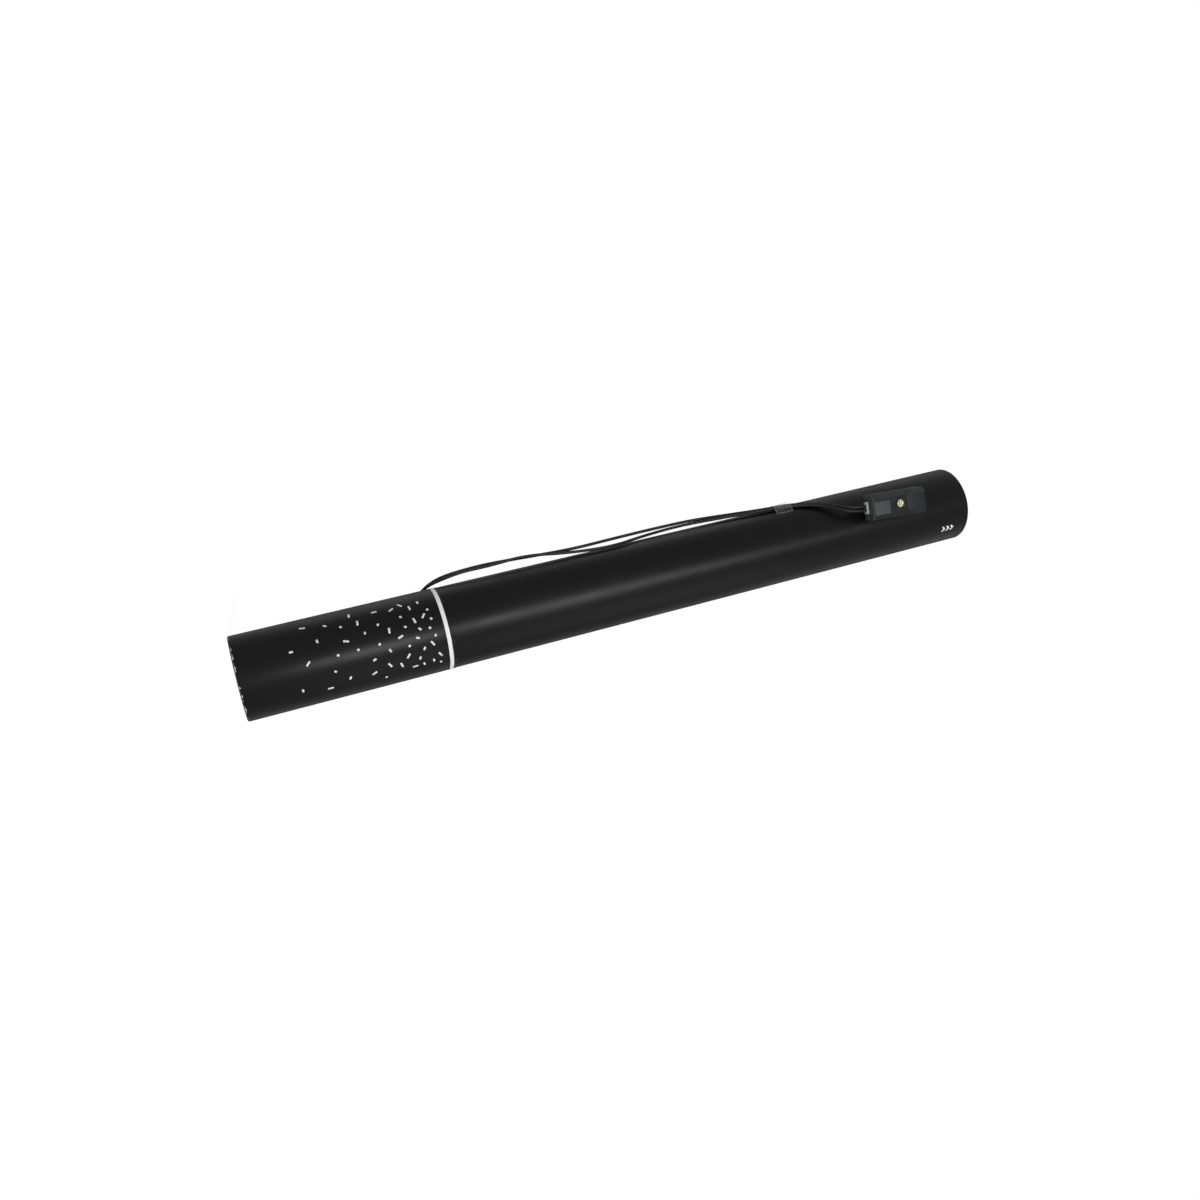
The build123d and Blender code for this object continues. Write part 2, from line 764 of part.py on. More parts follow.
# Nose of the connector: the shroud round the pins, with a spigot that the shells clamp
contact_height = connector_height / 2
blade_out = contact_height - blade_height / 2
with BuildPart() as connector_nose:
    with BuildSketch(connector_section(nose_rear)):
        with BuildLine():
            Polyline(
                (-half_width, 0),
                (half_width, 0),
                (half_width, bevel_foot),
                (flat_half, connector_height),
                (-flat_half, connector_height),
                (-half_width, bevel_foot),
                (-half_width, 0),
            )
        make_face()
    extrude(amount=nose_length)
    with BuildSketch(connector_section(nose_rear - nose_spigot)):
        with Locations((0, contact_height)):
            Rectangle(
                2 * (inner_flat_half - glue_gap),
                connector_height - 2 * (connector_wall + glue_gap),
            )
    extrude(amount=nose_spigot)
    with BuildSketch(connector_section(connector_length / 2 - nose_depth)):
        with Locations((0, contact_height)):
            SlotOverall(connector_width - 2 * nose_wall, connector_height - 2 * nose_wall)
    extrude(amount=nose_depth + cut_over, mode=Mode.SUBTRACT)
    with BuildSketch(connector_section(nose_rear - nose_spigot - cut_over)):
        with Locations((0, contact_height)):
            with GridLocations(pin_pitch, 0, 2, 1):
                Rectangle(blade_thickness + 2 * glue_gap, blade_height + 2 * glue_gap)
    extrude(amount=nose_length, mode=Mode.SUBTRACT)
save(connector_nose, "connector_nose")

# Two contacts: a round pin, a flat blade and a screw terminal each
pin_front = connector_length / 2 - pin_short
pin_rear = connector_length / 2 - nose_depth
grip_inside = connector_rear + grip_in
terminal_rear = grip_inside + tail_room
blade_rear = terminal_rear + terminal_length
with BuildPart() as connector_pins:
    for side in (-1, 1):
        across = side * pin_pitch / 2
        with BuildSketch(connector_section(pin_rear)):
            with Locations((across, contact_height)):
                Circle(pin_d / 2)
        extrude(amount=pin_front - pin_rear)
        with BuildSketch(connector_section(blade_rear)):
            with Locations((across, contact_height)):
                Rectangle(blade_thickness, blade_height)
        extrude(amount=pin_rear - blade_rear)
        with BuildSketch(connector_section(terminal_rear)):
            with Locations((across, contact_height)):
                Rectangle(terminal_width, terminal_height)
        extrude(amount=terminal_length)
        with BuildSketch(connector_section(terminal_rear)):
            with Locations((across, contact_height)):
                Circle(wire_r + glue_gap)
        extrude(amount=terminal_length, mode=Mode.SUBTRACT)
        with BuildSketch(connector.offset(contact_height + wire_r + 2 * glue_gap)):
            with Locations((terminal_rear + terminal_length / 2, across)):
                Circle(terminal_screw_d / 2 + glue_gap)
        extrude(amount=terminal_height, mode=Mode.SUBTRACT)
save(connector_pins, "connector_pins")

# Terminal screws that clamp the wires
terminal_top = contact_height + terminal_height / 2
with BuildPart() as terminal_screws:
    for side in (-1, 1):
        spot = (terminal_rear + terminal_length / 2, side * pin_pitch / 2)
        with BuildSketch(connector.offset(contact_height + wire_r + 2 * glue_gap)):
            with Locations(spot):
                Circle(terminal_screw_d / 2)
        extrude(amount=terminal_top - contact_height - wire_r - glue_gap)
        with BuildSketch(connector.offset(terminal_top + glue_gap)):
            with Locations(spot):
                Circle(terminal_head_d / 2)
        extrude(amount=terminal_head)
save(terminal_screws, "terminal_screws")

# Cross-slot screw that closes the connector
screw_end = boss_top - screw_bite + glue_gap
with BuildPart() as cover_screw:
    with BuildSketch(connector.offset(screw_end)):
        Circle(cover_screw_d / 2)
    extrude(amount=head_seat + glue_gap - screw_end)
    with BuildSketch(connector.offset(head_seat + glue_gap)):
        Circle(cover_head_d / 2)
    extrude(amount=cover_head)
    with BuildSketch(connector.offset(head_seat + glue_gap + cover_head - cover_slot_depth)):
        for turn in (45, 135):
            Rectangle(cover_head_d - cover_slot_width, cover_slot_width, rotation=turn)
    extrude(amount=cover_slot_depth + cut_over, mode=Mode.SUBTRACT)
save(cover_screw, "cover_screw")

# Light grey cord grip in the lower shell's slot
with BuildPart() as cord_grip:
    with BuildSketch(connector_section(connector_rear - grip_out)):
        with Locations((0, grip_middle)):
            Rectangle(grip_width, grip_height)
            with GridLocations(wire_pitch, 0, 2, 1):
                Circle(wire_r + glue_gap, mode=Mode.SUBTRACT)
    extrude(amount=grip_out + grip_in)
save(cord_grip, "cord_grip")

# Wire tails inside the connector, from the grip's outer face into the terminals
tail_start = connector_rear - grip_out
tail_end = terminal_rear + terminal_length - glue_gap
with BuildPart() as wire_tails:
    for side in (-1, 1):
        near = side * wire_pitch / 2
        far = side * pin_pitch / 2
        bend_room = tail_room * tail_straight_share / 2
        points = [
            at_connector(tail_start, near, grip_middle),
            at_connector(grip_inside + bend_room, near, grip_middle),
            at_connector(terminal_rear - bend_room, far, contact_height),
            at_connector(tail_end, far, contact_height),
        ]
        with BuildLine() as tail_line:
            FilletPolyline(*points, radius=tail_bend)
        with BuildSketch(Plane(origin=points[0], z_dir=points[1] - points[0])):
            Circle(wire_r)
        sweep(path=tail_line.wires()[0])
save(wire_tails, "wire_tails")

# Dotted grip pad on the connector's cover
pad_middle = connector_rear + pad_margin + pad_length / 2
with BuildPart() as grip_pad:
    with BuildSketch(connector.offset(connector_height + glue_gap)):
        with Locations((pad_middle, -pad_drop)):
            Rectangle(pad_length, pad_width)
    extrude(amount=pad_thickness)
    with BuildSketch(connector.offset(connector_height + glue_gap + pad_thickness)):
        with Locations((pad_middle, -pad_drop)):
            with GridLocations(pip_pitch, pip_pitch, pip_columns, pip_rows):
                Circle(pip_d / 2)
    extrude(amount=pip_height)
save(grip_pad, "grip_pad")

# Soft foam squeezed to a wedge between the connector's lower half and the round tube
foam_middle = foam_edge + foam_width / 2 - half_width
foam_reach = connector_shift + foam_middle + (foam_width + foam_length * math.sin(yaw)) / 2
foam_depth = connector_foot - math.sqrt(tube_or**2 - foam_reach**2) + cut_over
with BuildPart() as connector_foam:
    with BuildSketch(connector.offset(-glue_gap)):
        with Locations((0, foam_middle)):
            Rectangle(foam_length, foam_width)
    extrude(amount=-foam_depth)
    with BuildSketch(Plane.XY):
        Circle(tube_or + glue_gap)
    extrude(amount=tube_length, mode=Mode.SUBTRACT)
save(connector_foam, "connector_foam")

# The lead's two wires, from the exit bush to the cord grip, with route points chosen by eye
lead_route_a = [
    (-24.9, 28.9, 104.6),
    (-29.9, 23.6, 111.0),
    (-27.9, 14.2, 116.2),
    (-27.9, 7.2, 118.5),
    (-28.6, 0.8, 120.6),
    (-30.7, -3.4, 128.1),
    (-31.4, -6.4, 140.0),
    (-31.7, -7.6, 158.0),
    (-30.5, -7.0, 184.0),
    (-28.8, -6.8, 214.0),
    (-29.6, -5.8, 244.0),
    (-30.0, -5.6, 273.0),
    (-29.6, -6.4, 302.0),
    (-26.8, -8.6, 330.0),
    (-24.1, -12.2, 352.5),
    (-22.3, -15.2, 374.5),
    (-16.4, -21.9, 391.3),
    (-8.8, -29.9, 401.0),
]
lead_route_b = [
    (-24.9, 28.6, 101.8),
    (-29.6, 22.9, 107.2),
    (-27.6, 13.2, 112.3),
    (-26.5, 5.7, 116.9),
    (-27.6, -2.0, 119.6),
    (-28.6, -6.5, 128.0),
    (-30.2, -8.7, 142.0),
    (-29.7, -9.5, 160.0),
    (-30.8, -10.5, 184.0),
    (-25.7, -11.3, 212.0),
    (-22.5, -14.8, 240.0),
    (-26.2, -8.7, 266.0),
    (-27.3, -8.4, 292.0),
    (-25.3, -11.2, 320.0),
    (-22.8, -14.6, 350.0),
    (-20.9, -17.0, 373.5),
    (-15.1, -23.1, 389.4),
    (-6.4, -31.3, 399.1),
]


def lead_points(route, side):
    wire_z = exit_z + side * wire_pitch / 2
    start = [at_exit(bush_face, 0, wire_z), at_exit(bush_face + lead_out, 0, wire_z)]
    end = [
        at_connector(connector_rear - grip_out - lead_in, side * wire_pitch / 2, grip_middle),
        at_connector(connector_rear - grip_out, side * wire_pitch / 2, grip_middle),
    ]
    return start + [Vector(*point) for point in route] + end


for name, route, side in (("lead_wire_a", lead_route_a, 1), ("lead_wire_b", lead_route_b, -1)):
    points = lead_points(route, side)
    radii = corner_radii(points)
    with BuildPart() as lead_wire:
        with BuildLine() as lead_line:
            FilletPolyline(*points, radius=radii)
        with BuildSketch(Plane(origin=points[0], z_dir=points[1] - points[0])):
            Circle(wire_r)
        sweep(path=lead_line.wires()[0])
    tell_cord(name, lead_line.wires()[0], lead_wire.part, radii, wire_d)
    save(lead_wire, name)

# Clear tape: flat on the tube at both ends, lifted over the two wires
tape_or = tube_or + glue_gap


def tape_edge(radius, rise):
    Line(around(radius, tape_lift_start, 0), around(radius + rise, tape_top_start, 0))
    ThreePointArc(
        around(radius + rise, tape_top_start, 0),
        around(radius + rise, (tape_top_start + tape_top_end) / 2, 0),
        around(radius + rise, tape_top_end, 0),
    )
    Line(around(radius + rise, tape_top_end, 0), around(radius, tape_lift_end, 0))
    for first, last in ((tape_start, tape_lift_start), (tape_lift_end, tape_end)):
        ThreePointArc(
            around(radius, first, 0),
            around(radius, (first + last) / 2, 0),
            around(radius, last, 0),
        )


with BuildPart() as tape_strip:
    with BuildSketch(Plane.XY.offset(tape_z)):
        with BuildLine():
            for radius in (tape_or, tape_or + tape_film):
                tape_edge(radius, tape_rise)
            for end in (tape_start, tape_end):
                Line(around(tape_or, end, 0), around(tape_or + tape_film, end, 0))
        make_face()
    extrude(amount=tape_width)
save(tape_strip, "tape_strip")
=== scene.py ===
import math
import random

import bmesh
import bpy
from mathutils import Matrix, Vector


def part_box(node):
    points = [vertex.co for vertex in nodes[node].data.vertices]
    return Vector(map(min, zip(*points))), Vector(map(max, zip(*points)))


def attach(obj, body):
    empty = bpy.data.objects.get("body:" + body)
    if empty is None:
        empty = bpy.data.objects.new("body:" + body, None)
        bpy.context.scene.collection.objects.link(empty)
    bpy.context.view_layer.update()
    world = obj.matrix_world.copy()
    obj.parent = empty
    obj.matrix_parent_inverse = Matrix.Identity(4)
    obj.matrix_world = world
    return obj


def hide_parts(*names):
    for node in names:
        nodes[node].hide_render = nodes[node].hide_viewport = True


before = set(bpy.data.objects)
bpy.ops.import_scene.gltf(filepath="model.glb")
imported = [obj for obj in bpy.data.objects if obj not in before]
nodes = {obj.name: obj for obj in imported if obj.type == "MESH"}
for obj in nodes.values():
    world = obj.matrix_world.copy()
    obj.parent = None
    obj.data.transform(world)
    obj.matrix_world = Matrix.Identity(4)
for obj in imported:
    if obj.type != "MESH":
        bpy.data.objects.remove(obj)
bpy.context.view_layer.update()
scene = bpy.context.scene
scene.view_settings.view_transform = "Standard"
print("frame loaded:", len(nodes), "nodes")

# the view along the tube, from beside its base
cameraView = {
    "lens": 30.82,
    "sensor": 36,
    "spot": (0.1169, -0.6247, 0.0246),
    "right": (0.29033, -0.24662, 0.92436),
    "up": (-0.94273, -0.24119, 0.23219),
    "back": (0.16519, -0.93865, -0.30278),
}


def placeCamera(view):
    data = bpy.data.cameras.new("viewCamera")
    data.lens = view["lens"]
    data.sensor_width = view["sensor"]
    camera = bpy.data.objects.new("viewCamera", data)
    scene.collection.objects.link(camera)
    turn = Matrix((view["right"], view["up"], view["back"])).transposed().to_4x4()
    camera.matrix_world = Matrix.Translation(view["spot"]) @ turn
    scene.camera = camera


placeCamera(cameraView)


def addNode(tree, kind, values=None, **settings):
    node = tree.nodes.new(kind)
    for key, value in settings.items():
        setattr(node, key, value)
    for socket, value in (values or {}).items():
        if isinstance(value, bpy.types.NodeSocket):
            tree.links.new(value, node.inputs[socket])
        else:
            node.inputs[socket].default_value = value
    return node


def maths(tree, operation, *values):
    return addNode(tree, "ShaderNodeMath", dict(enumerate(values)), operation=operation).outputs[0]


def spread(tree, value, low, high, start=0.0, end=1.0):
    values = {0: value, 1: start, 2: end, 3: low, 4: high}
    return addNode(tree, "ShaderNodeMapRange", values).outputs[0]


def blendColours(tree, share, first, second):
    values = {0: share, 6: first, 7: second}
    return addNode(tree, "ShaderNodeMix", values, data_type="RGBA").outputs[2]


def objectPlace(tree):
    return addNode(tree, "ShaderNodeTexCoord").outputs["Object"]


def stretched(tree, place, scale):
    return addNode(tree, "ShaderNodeMapping", {0: place, 3: scale}).outputs[0]


def noise(tree, place, scale, detail=3.0, rough=0.55):
    values = {"Vector": place, "Scale": scale, "Detail": detail, "Roughness": rough}
    return addNode(tree, "ShaderNodeTexNoise", values).outputs[0]


def seenRay(tree):
    path = addNode(tree, "ShaderNodeLightPath")
    seen = maths(tree, "MAXIMUM", path.outputs["Is Camera Ray"], path.outputs["Is Glossy Ray"])
    return maths(tree, "MAXIMUM", seen, path.outputs["Is Transmission Ray"])


# plain white studio: soft boxes round the part, and a row of strips for the long highlight
studio = {
    "ambient": 0.30,
    "floorRadius": 3.0,
    "floorSides": 96,
    "bounceTone": 0.8,
    "floorGlow": 0.87,
    "floorTone": 0.28,
    "fadeFrom": 0.30,
    "fadeTo": 0.90,
}
lamps = {
    "frontBox": {"spot": (0.25, -1.45, 0.55), "aim": (0, 0, 0.25), "size": (1.9, 1.9), "glow": 0.10},
    "footStrip": {"spot": (0.450, -1.112, 0.21), "aim": (0, 0, 0.21), "size": (0.26, 0.42), "glow": 21.0},
    "midStrip": {"spot": (0.450, -1.112, 0.64), "aim": (0, 0, 0.64), "size": (0.26, 0.43), "glow": 11.5},
    "tallStrip": {"spot": (0.450, -1.112, 1.24), "aim": (0, 0, 1.24), "size": (0.26, 0.76), "glow": 4.5},
    "lowBox": {"spot": (1.45, -0.30, 0.45), "aim": (0, 0, 0.25), "size": (1.2, 1.5), "glow": 1.3},
    "highBox": {"spot": (-1.40, 0.50, 0.45), "aim": (0, 0, 0.25), "size": (0.9, 1.5), "glow": 1.0},
}


def lightStudio():
    world = bpy.data.worlds.new("studioWorld")
    scene.world = world
    world.use_nodes = True
    tree = world.node_tree
    strength = spread(tree, seenRay(tree), studio["ambient"], 1.0)
    background = tree.nodes["Background"]
    background.inputs["Color"].default_value = (1, 1, 1, 1)
    tree.links.new(strength, background.inputs["Strength"])
    for name, lamp in lamps.items():
        data = bpy.data.lights.new(name, "AREA")
        data.shape = "RECTANGLE"
        data.size, data.size_y = lamp["size"]
        data.energy = lamp["glow"] * math.pi * lamp["size"][0] * lamp["size"][1]
        light = bpy.data.objects.new(name, data)
        scene.collection.objects.link(light)
        light.location = lamp["spot"]
        look = Vector(lamp["aim"]) - Vector(lamp["spot"])
        light.rotation_euler = look.to_track_quat("-Z", "Y").to_euler()
        light.visible_camera = False


def layFloor():
    shape = bmesh.new()
    bmesh.ops.create_circle(shape, cap_ends=True, segments=studio["floorSides"], radius=studio["floorRadius"])
    floor = makePiece("studioFloor", shape, None)
    finish = bpy.data.materials.new("floorFinish")
    finish.use_nodes = True
    tree = finish.node_tree
    tree.nodes.remove(tree.nodes["Principled BSDF"])
    bounce = addNode(tree, "ShaderNodeBsdfDiffuse", {0: (studio["bounceTone"],) * 3 + (1,)})
    shaded = addNode(tree, "ShaderNodeBsdfDiffuse", {0: (studio["floorTone"],) * 3 + (1,)})
    glow = addNode(tree, "ShaderNodeEmission", {0: (1, 1, 1, 1), 1: studio["floorGlow"]})
    near = addNode(tree, "ShaderNodeAddShader", {0: shaded.outputs[0], 1: glow.outputs[0]})
    white = addNode(tree, "ShaderNodeEmission", {0: (1, 1, 1, 1), 1: 1.0})
    away = addNode(tree, "ShaderNodeVectorMath", {0: objectPlace(tree)}, operation="LENGTH").outputs["Value"]
    fade = spread(tree, away, 0, 1, studio["fadeFrom"], studio["fadeTo"])
    shown = addNode(tree, "ShaderNodeMixShader", {0: fade, 1: near.outputs[0], 2: white.outputs[0]})
    mix = addNode(tree, "ShaderNodeMixShader", {0: seenRay(tree), 1: bounce.outputs[0], 2: shown.outputs[0]})
    tree.links.new(mix.outputs[0], tree.nodes["Material Output"].inputs[0])
    floor.data.materials.append(finish)


# a finished piece from a bmesh, smooth but for its corners
def makePiece(name, shape, body, finish=None, corner=35):
    mesh = bpy.data.meshes.new(name)
    shape.to_mesh(mesh)
    shape.free()
    mesh.polygons.foreach_set("use_smooth", [True] * len(mesh.polygons))
    mesh.set_sharp_from_angle(angle=math.radians(corner))
    piece = bpy.data.objects.new(name, mesh)
    scene.collection.objects.link(piece)
    if finish:
        mesh.materials.append(finish)
    if body:
        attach(piece, body)
    return piece


# a thin wall for printed and filmy pieces
def thicken(piece, film, offset):
    wall = piece.modifiers.new("film", "SOLIDIFY")
    wall.thickness = film
    wall.offset = offset


lightStudio()
layFloor()
print("studio lit")


# finishes: every one has its own grain, tone and bump
noiseSpan = (0.3, 0.7)
rimSpan = (0.05, 0.86)


def startFinish(name, colour, roughness, metallic=0.0, specular=0.5):
    finish = bpy.data.materials.new(name)
    finish.use_nodes = True
    shader = finish.node_tree.nodes["Principled BSDF"]
    shader.inputs["Base Color"].default_value = (*colour, 1)
    shader.inputs["Roughness"].default_value = roughness
    shader.inputs["Metallic"].default_value = metallic
    shader.inputs["Specular IOR Level"].default_value = specular
    return finish, finish.node_tree, shader


def shadeTone(tree, shader, colour, share, low, high):
    dark = tuple(low * c for c in colour) + (1,)
    light = tuple(min(1, high * c) for c in colour) + (1,)
    tone = blendColours(tree, share, dark, light)
    tree.links.new(tone, shader.inputs["Base Color"])
    return tone


def varyRoughness(tree, shader, share, low, high):
    tree.links.new(spread(tree, share, low, high, *noiseSpan), shader.inputs["Roughness"])


def raiseGrain(tree, shader, height, strength, distance):
    bump = addNode(tree, "ShaderNodeBump", {"Strength": strength, "Distance": distance, "Height": height})
    tree.links.new(bump.outputs[0], shader.inputs["Normal"])


def measureAlong(tree, place, way):
    values = {0: place, 1: way}
    return addNode(tree, "ShaderNodeVectorMath", values, operation="DOT_PRODUCT").outputs["Value"]


# satin surfaces shine less where they turn away
def dullRim(tree, shader, specular, rimSpecular):
    facing = addNode(tree, "ShaderNodeLayerWeight", {"Blend": 0.5}).outputs["Facing"]
    sheen = spread(tree, facing, specular, rimSpecular, *rimSpan)
    tree.links.new(sheen, shader.inputs["Specular IOR Level"])


def tubeSpots(tree):
    place = objectPlace(tree)
    spot = addNode(tree, "ShaderNodeSeparateXYZ", {0: place}).outputs
    across = maths(tree, "MULTIPLY", spot[0], spot[0])
    deep = maths(tree, "MULTIPLY", spot[1], spot[1])
    radius = maths(tree, "SQRT", maths(tree, "ADD", across, deep))
    turn = maths(tree, "ARCTAN2", spot[0], spot[1])
    return place, radius, turn, spot[2]


# satin black paper over wound board: ink outside, raw layered board on the cut ends and in the bore
boardGrain = {
    "cloudScale": 28, "inkTones": (0.82, 1.18), "fibreScale": 1900, "fibreStretch": (1, 1, 0.35),
    "nibStretch": (1, 1, 0.2), "nibShares": (0.50, 0.98),
    "smoother": 0.04, "rougher": 0.05, "rawRoughness": 0.85, "bump": 0.10, "depth": 0.00006,
}
boardLooks = {
    "barrelBoard": {
        "ink": (0.0018, 0.0018, 0.0018), "inkRadius": 0.02522,
        "roughness": 0.35, "specular": 0.12, "rimSpecular": 0.004,
        "nibFoot": 0.1240, "nibTop": 0.1246, "nibScale": 300,
        "boardDark": (0.16, 0.115, 0.075, 1), "boardLight": (0.36, 0.28, 0.20, 1), "ply": 0.00042,
        "seamTurn": 0.35, "seamWidth": 0.010, "seamRise": 3.0,
    },
    "wrapPaper": {
        "ink": (0.0018, 0.0018, 0.0019), "inkRadius": 0.02540,
        "roughness": 0.35, "specular": 0.12, "rimSpecular": 0.004,
        "nibFoot": 0.0006, "nibTop": 0.0026, "nibScale": 260,
        "boardDark": (0.45, 0.45, 0.44, 1), "boardLight": (0.72, 0.72, 0.70, 1), "ply": 0.0003,
        "seamTurn": -0.25, "seamWidth": 0.016, "seamRise": 6.0,
    },
    "sleeveBoard": {
        "ink": (0.020, 0.019, 0.018), "inkRadius": 0.02530,
        "roughness": 0.55, "specular": 0.2, "rimSpecular": 0.1,
        "nibFoot": 0.0, "nibTop": 0.0010, "nibScale": 300,
        "boardDark": (0.16, 0.115, 0.075, 1), "boardLight": (0.36, 0.28, 0.20, 1), "ply": 0.00042,
        "seamTurn": 1.9, "seamWidth": 0.010, "seamRise": 2.0,
    },
}


def boardFinish(name, s):
    grain = boardGrain
    finish, tree, shader = startFinish(name, s["ink"], s["roughness"], specular=s["specular"])
    place, radius, turn, height = tubeSpots(tree)
    cloud = noise(tree, place, grain["cloudScale"])
    fibre = noise(tree, stretched(tree, place, grain["fibreStretch"]), grain["fibreScale"], rough=0.7)
    ink = shadeTone(tree, shader, s["ink"], cloud, *grain["inkTones"])
    layers = maths(tree, "SINE", maths(tree, "MULTIPLY", radius, 2 * math.pi / s["ply"]))
    plies = maths(tree, "MULTIPLY", spread(tree, layers, 0, 1, -1, 1), fibre)
    board = blendColours(tree, plies, s["boardDark"], s["boardLight"])
    ragged = noise(tree, stretched(tree, place, grain["nibStretch"]), s["nibScale"], rough=0.7)
    nibLimit = spread(tree, height, *grain["nibShares"], s["nibFoot"], s["nibTop"])
    nibs = maths(tree, "GREATER_THAN", ragged, nibLimit)
    raw = maths(tree, "MAXIMUM", maths(tree, "LESS_THAN", radius, s["inkRadius"]), nibs)
    tree.links.new(blendColours(tree, raw, ink, board), shader.inputs["Base Color"])
    dullRim(tree, shader, s["specular"], s["rimSpecular"])
    smooth, rough = s["roughness"] - grain["smoother"], s["roughness"] + grain["rougher"]
    satin = spread(tree, cloud, smooth, rough, *noiseSpan)
    rawRough = maths(tree, "MULTIPLY", raw, grain["rawRoughness"])
    tree.links.new(maths(tree, "MAXIMUM", satin, rawRough), shader.inputs["Roughness"])
    fromSeam = maths(tree, "ABSOLUTE", maths(tree, "SUBTRACT", turn, s["seamTurn"]))
    seam = spread(tree, fromSeam, 1, 0, 0, s["seamWidth"])
    relief = maths(tree, "ADD", fibre, maths(tree, "MULTIPLY", seam, s["seamRise"]))
    raiseGrain(tree, shader, relief, grain["bump"], grain["depth"])
    return finish


# raw wound board and card, with specks of fibre
cardGrain = {
    "roughness": 0.85, "specular": 0.25, "scale": 700, "stretch": (1, 1, 0.25), "fibreSpan": (0.35, 0.68),
    "speckScale": 0.4, "speckSpan": (0.66, 0.74), "speckShare": 0.5, "speckTone": 0.5, "bump": 0.25, "depth": 0.0001,
}
cardLooks = {
    "couplerBoard": {"dark": (0.22, 0.17, 0.12), "light": (0.42, 0.34, 0.25)},
    "plugCard": {"dark": (0.010, 0.010, 0.011), "light": (0.022, 0.022, 0.024)},
}


def cardFinish(name, dark, light):
    grain = cardGrain
    finish, tree, shader = startFinish(name, dark, grain["roughness"], specular=grain["specular"])
    place = objectPlace(tree)
    fibre = noise(tree, stretched(tree, place, grain["stretch"]), grain["scale"], detail=5, rough=0.7)
    tone = blendColours(tree, spread(tree, fibre, 0, 1, *grain["fibreSpan"]), (*dark, 1), (*light, 1))
    specks = noise(tree, place, grain["scale"] * grain["speckScale"], detail=1)
    speck = spread(tree, specks, 0, grain["speckShare"], *grain["speckSpan"])
    speckTone = tuple(grain["speckTone"] * c for c in dark) + (1,)
    tree.links.new(blendColours(tree, speck, tone, speckTone), shader.inputs["Base Color"])
    raiseGrain(tree, shader, fibre, grain["bump"], grain["depth"])
    return finish


# moulded plastic: fine spark grain, faint flow tone
mouldedGrain = {
    "flowScale": 60, "tones": (0.86, 1.16), "smoother": 0.06, "rougher": 0.10, "bump": 0.12, "depth": 0.00004,
}
mouldedLooks = {
    "capPlastic": {"colour": (0.012, 0.012, 0.013), "roughness": 0.48},
    "blockPlastic": {"colour": (0.68, 0.68, 0.65), "roughness": 0.45},
    "gripNylon": {"colour": (0.27, 0.285, 0.28), "roughness": 0.5, "sparkScale": 1800, "specular": 0.2},
    "filament": {"colour": (0.75, 0.77, 0.74), "roughness": 0.25, "specular": 0.5},
}


def mouldedFinish(name, colour, roughness, sparkScale=2600, specular=0.35):
    grain = mouldedGrain
    finish, tree, shader = startFinish(name, colour, roughness, specular=specular)
    place = objectPlace(tree)
    flow = noise(tree, place, grain["flowScale"], detail=2)
    shadeTone(tree, shader, colour, flow, *grain["tones"])
    spark = noise(tree, place, sparkScale, detail=2, rough=0.6)
    varyRoughness(tree, shader, spark, roughness - grain["smoother"], roughness + grain["rougher"])
    raiseGrain(tree, shader, spark, grain["bump"], grain["depth"])
    return finish


# moulded plug shell with painted light: paler at its rear end and along its upper edge, as if lit there
plugPaintedLight = {
    "paintedLightTone": (0.085, 0.096, 0.092), "specular": 0.12, "rimSpecular": 0.01,
    "axis": (0.056404, 0.018327, 0.998240), "rear": 0.4149, "rearFade": 0.4157, "rearShare": 0.42,
    "side": (-0.949382, -0.308473, 0.059306), "edge": 0.0442, "edgeFade": 0.0437, "edgeShare": 0.20,
}
litShellLooks = {
    "shellPlastic": {"colour": (0.0075, 0.0078, 0.0080), "roughness": 0.46},
    "nosePlastic": {"colour": (0.0085, 0.0092, 0.0110), "roughness": 0.42},
}


def paintedLightFinish(name, colour, roughness):
    litPaint = plugPaintedLight
    finish = mouldedFinish(name, colour, roughness, specular=litPaint["specular"])
    tree = finish.node_tree
    shader = tree.nodes["Principled BSDF"]
    place = objectPlace(tree)
    along = measureAlong(tree, place, litPaint["axis"])
    beside = measureAlong(tree, place, litPaint["side"])
    # painted light: the rear end and the upper edge are blended towards a paler tone, as if lit
    rear = spread(tree, along, litPaint["rearShare"], 0, litPaint["rear"], litPaint["rearFade"])
    edge = spread(tree, beside, 0, litPaint["edgeShare"], litPaint["edgeFade"], litPaint["edge"])
    tone = shader.inputs["Base Color"].links[0].from_socket
    litTone = blendColours(tree, maths(tree, "MAXIMUM", rear, edge), tone, (*litPaint["paintedLightTone"], 1))
    tree.links.new(litTone, shader.inputs["Base Color"])
    dullRim(tree, shader, litPaint["specular"], litPaint["rimSpecular"])
    return finish


# metal with drawn or turned lines along one way
metalGrain = {
    "lineScale": 4000, "stainScale": 90, "tones": (0.80, 1.10),
    "smoother": 0.08, "rougher": 0.12, "bump": 0.10, "depth": 0.00003,
}
metalLooks = {
    "bottleSteel": {"colour": (0.60, 0.61, 0.63), "roughness": 0.32},
    "discFoil": {"colour": (0.80, 0.80, 0.81), "roughness": 0.25, "lines": (1, 0.1, 1)},
    "springSteel": {"colour": (0.52, 0.52, 0.53), "roughness": 0.30},
    "pinBrass": {"colour": (0.78, 0.58, 0.26), "roughness": 0.24},
    "screwZinc": {"colour": (0.31, 0.30, 0.215), "roughness": 0.46, "lines": (1, 0.3, 1)},
}


def metalFinish(name, colour, roughness, lines=(1, 1, 0.02)):
    grain = metalGrain
    finish, tree, shader = startFinish(name, colour, roughness, metallic=1.0)
    place = objectPlace(tree)
    drawn = noise(tree, stretched(tree, place, lines), grain["lineScale"], detail=4, rough=0.6)
    stain = noise(tree, place, grain["stainScale"])
    shadeTone(tree, shader, colour, stain, *grain["tones"])
    varyRoughness(tree, shader, drawn, roughness - grain["smoother"], roughness + grain["rougher"])
    raiseGrain(tree, shader, drawn, grain["bump"], grain["depth"])
    return finish


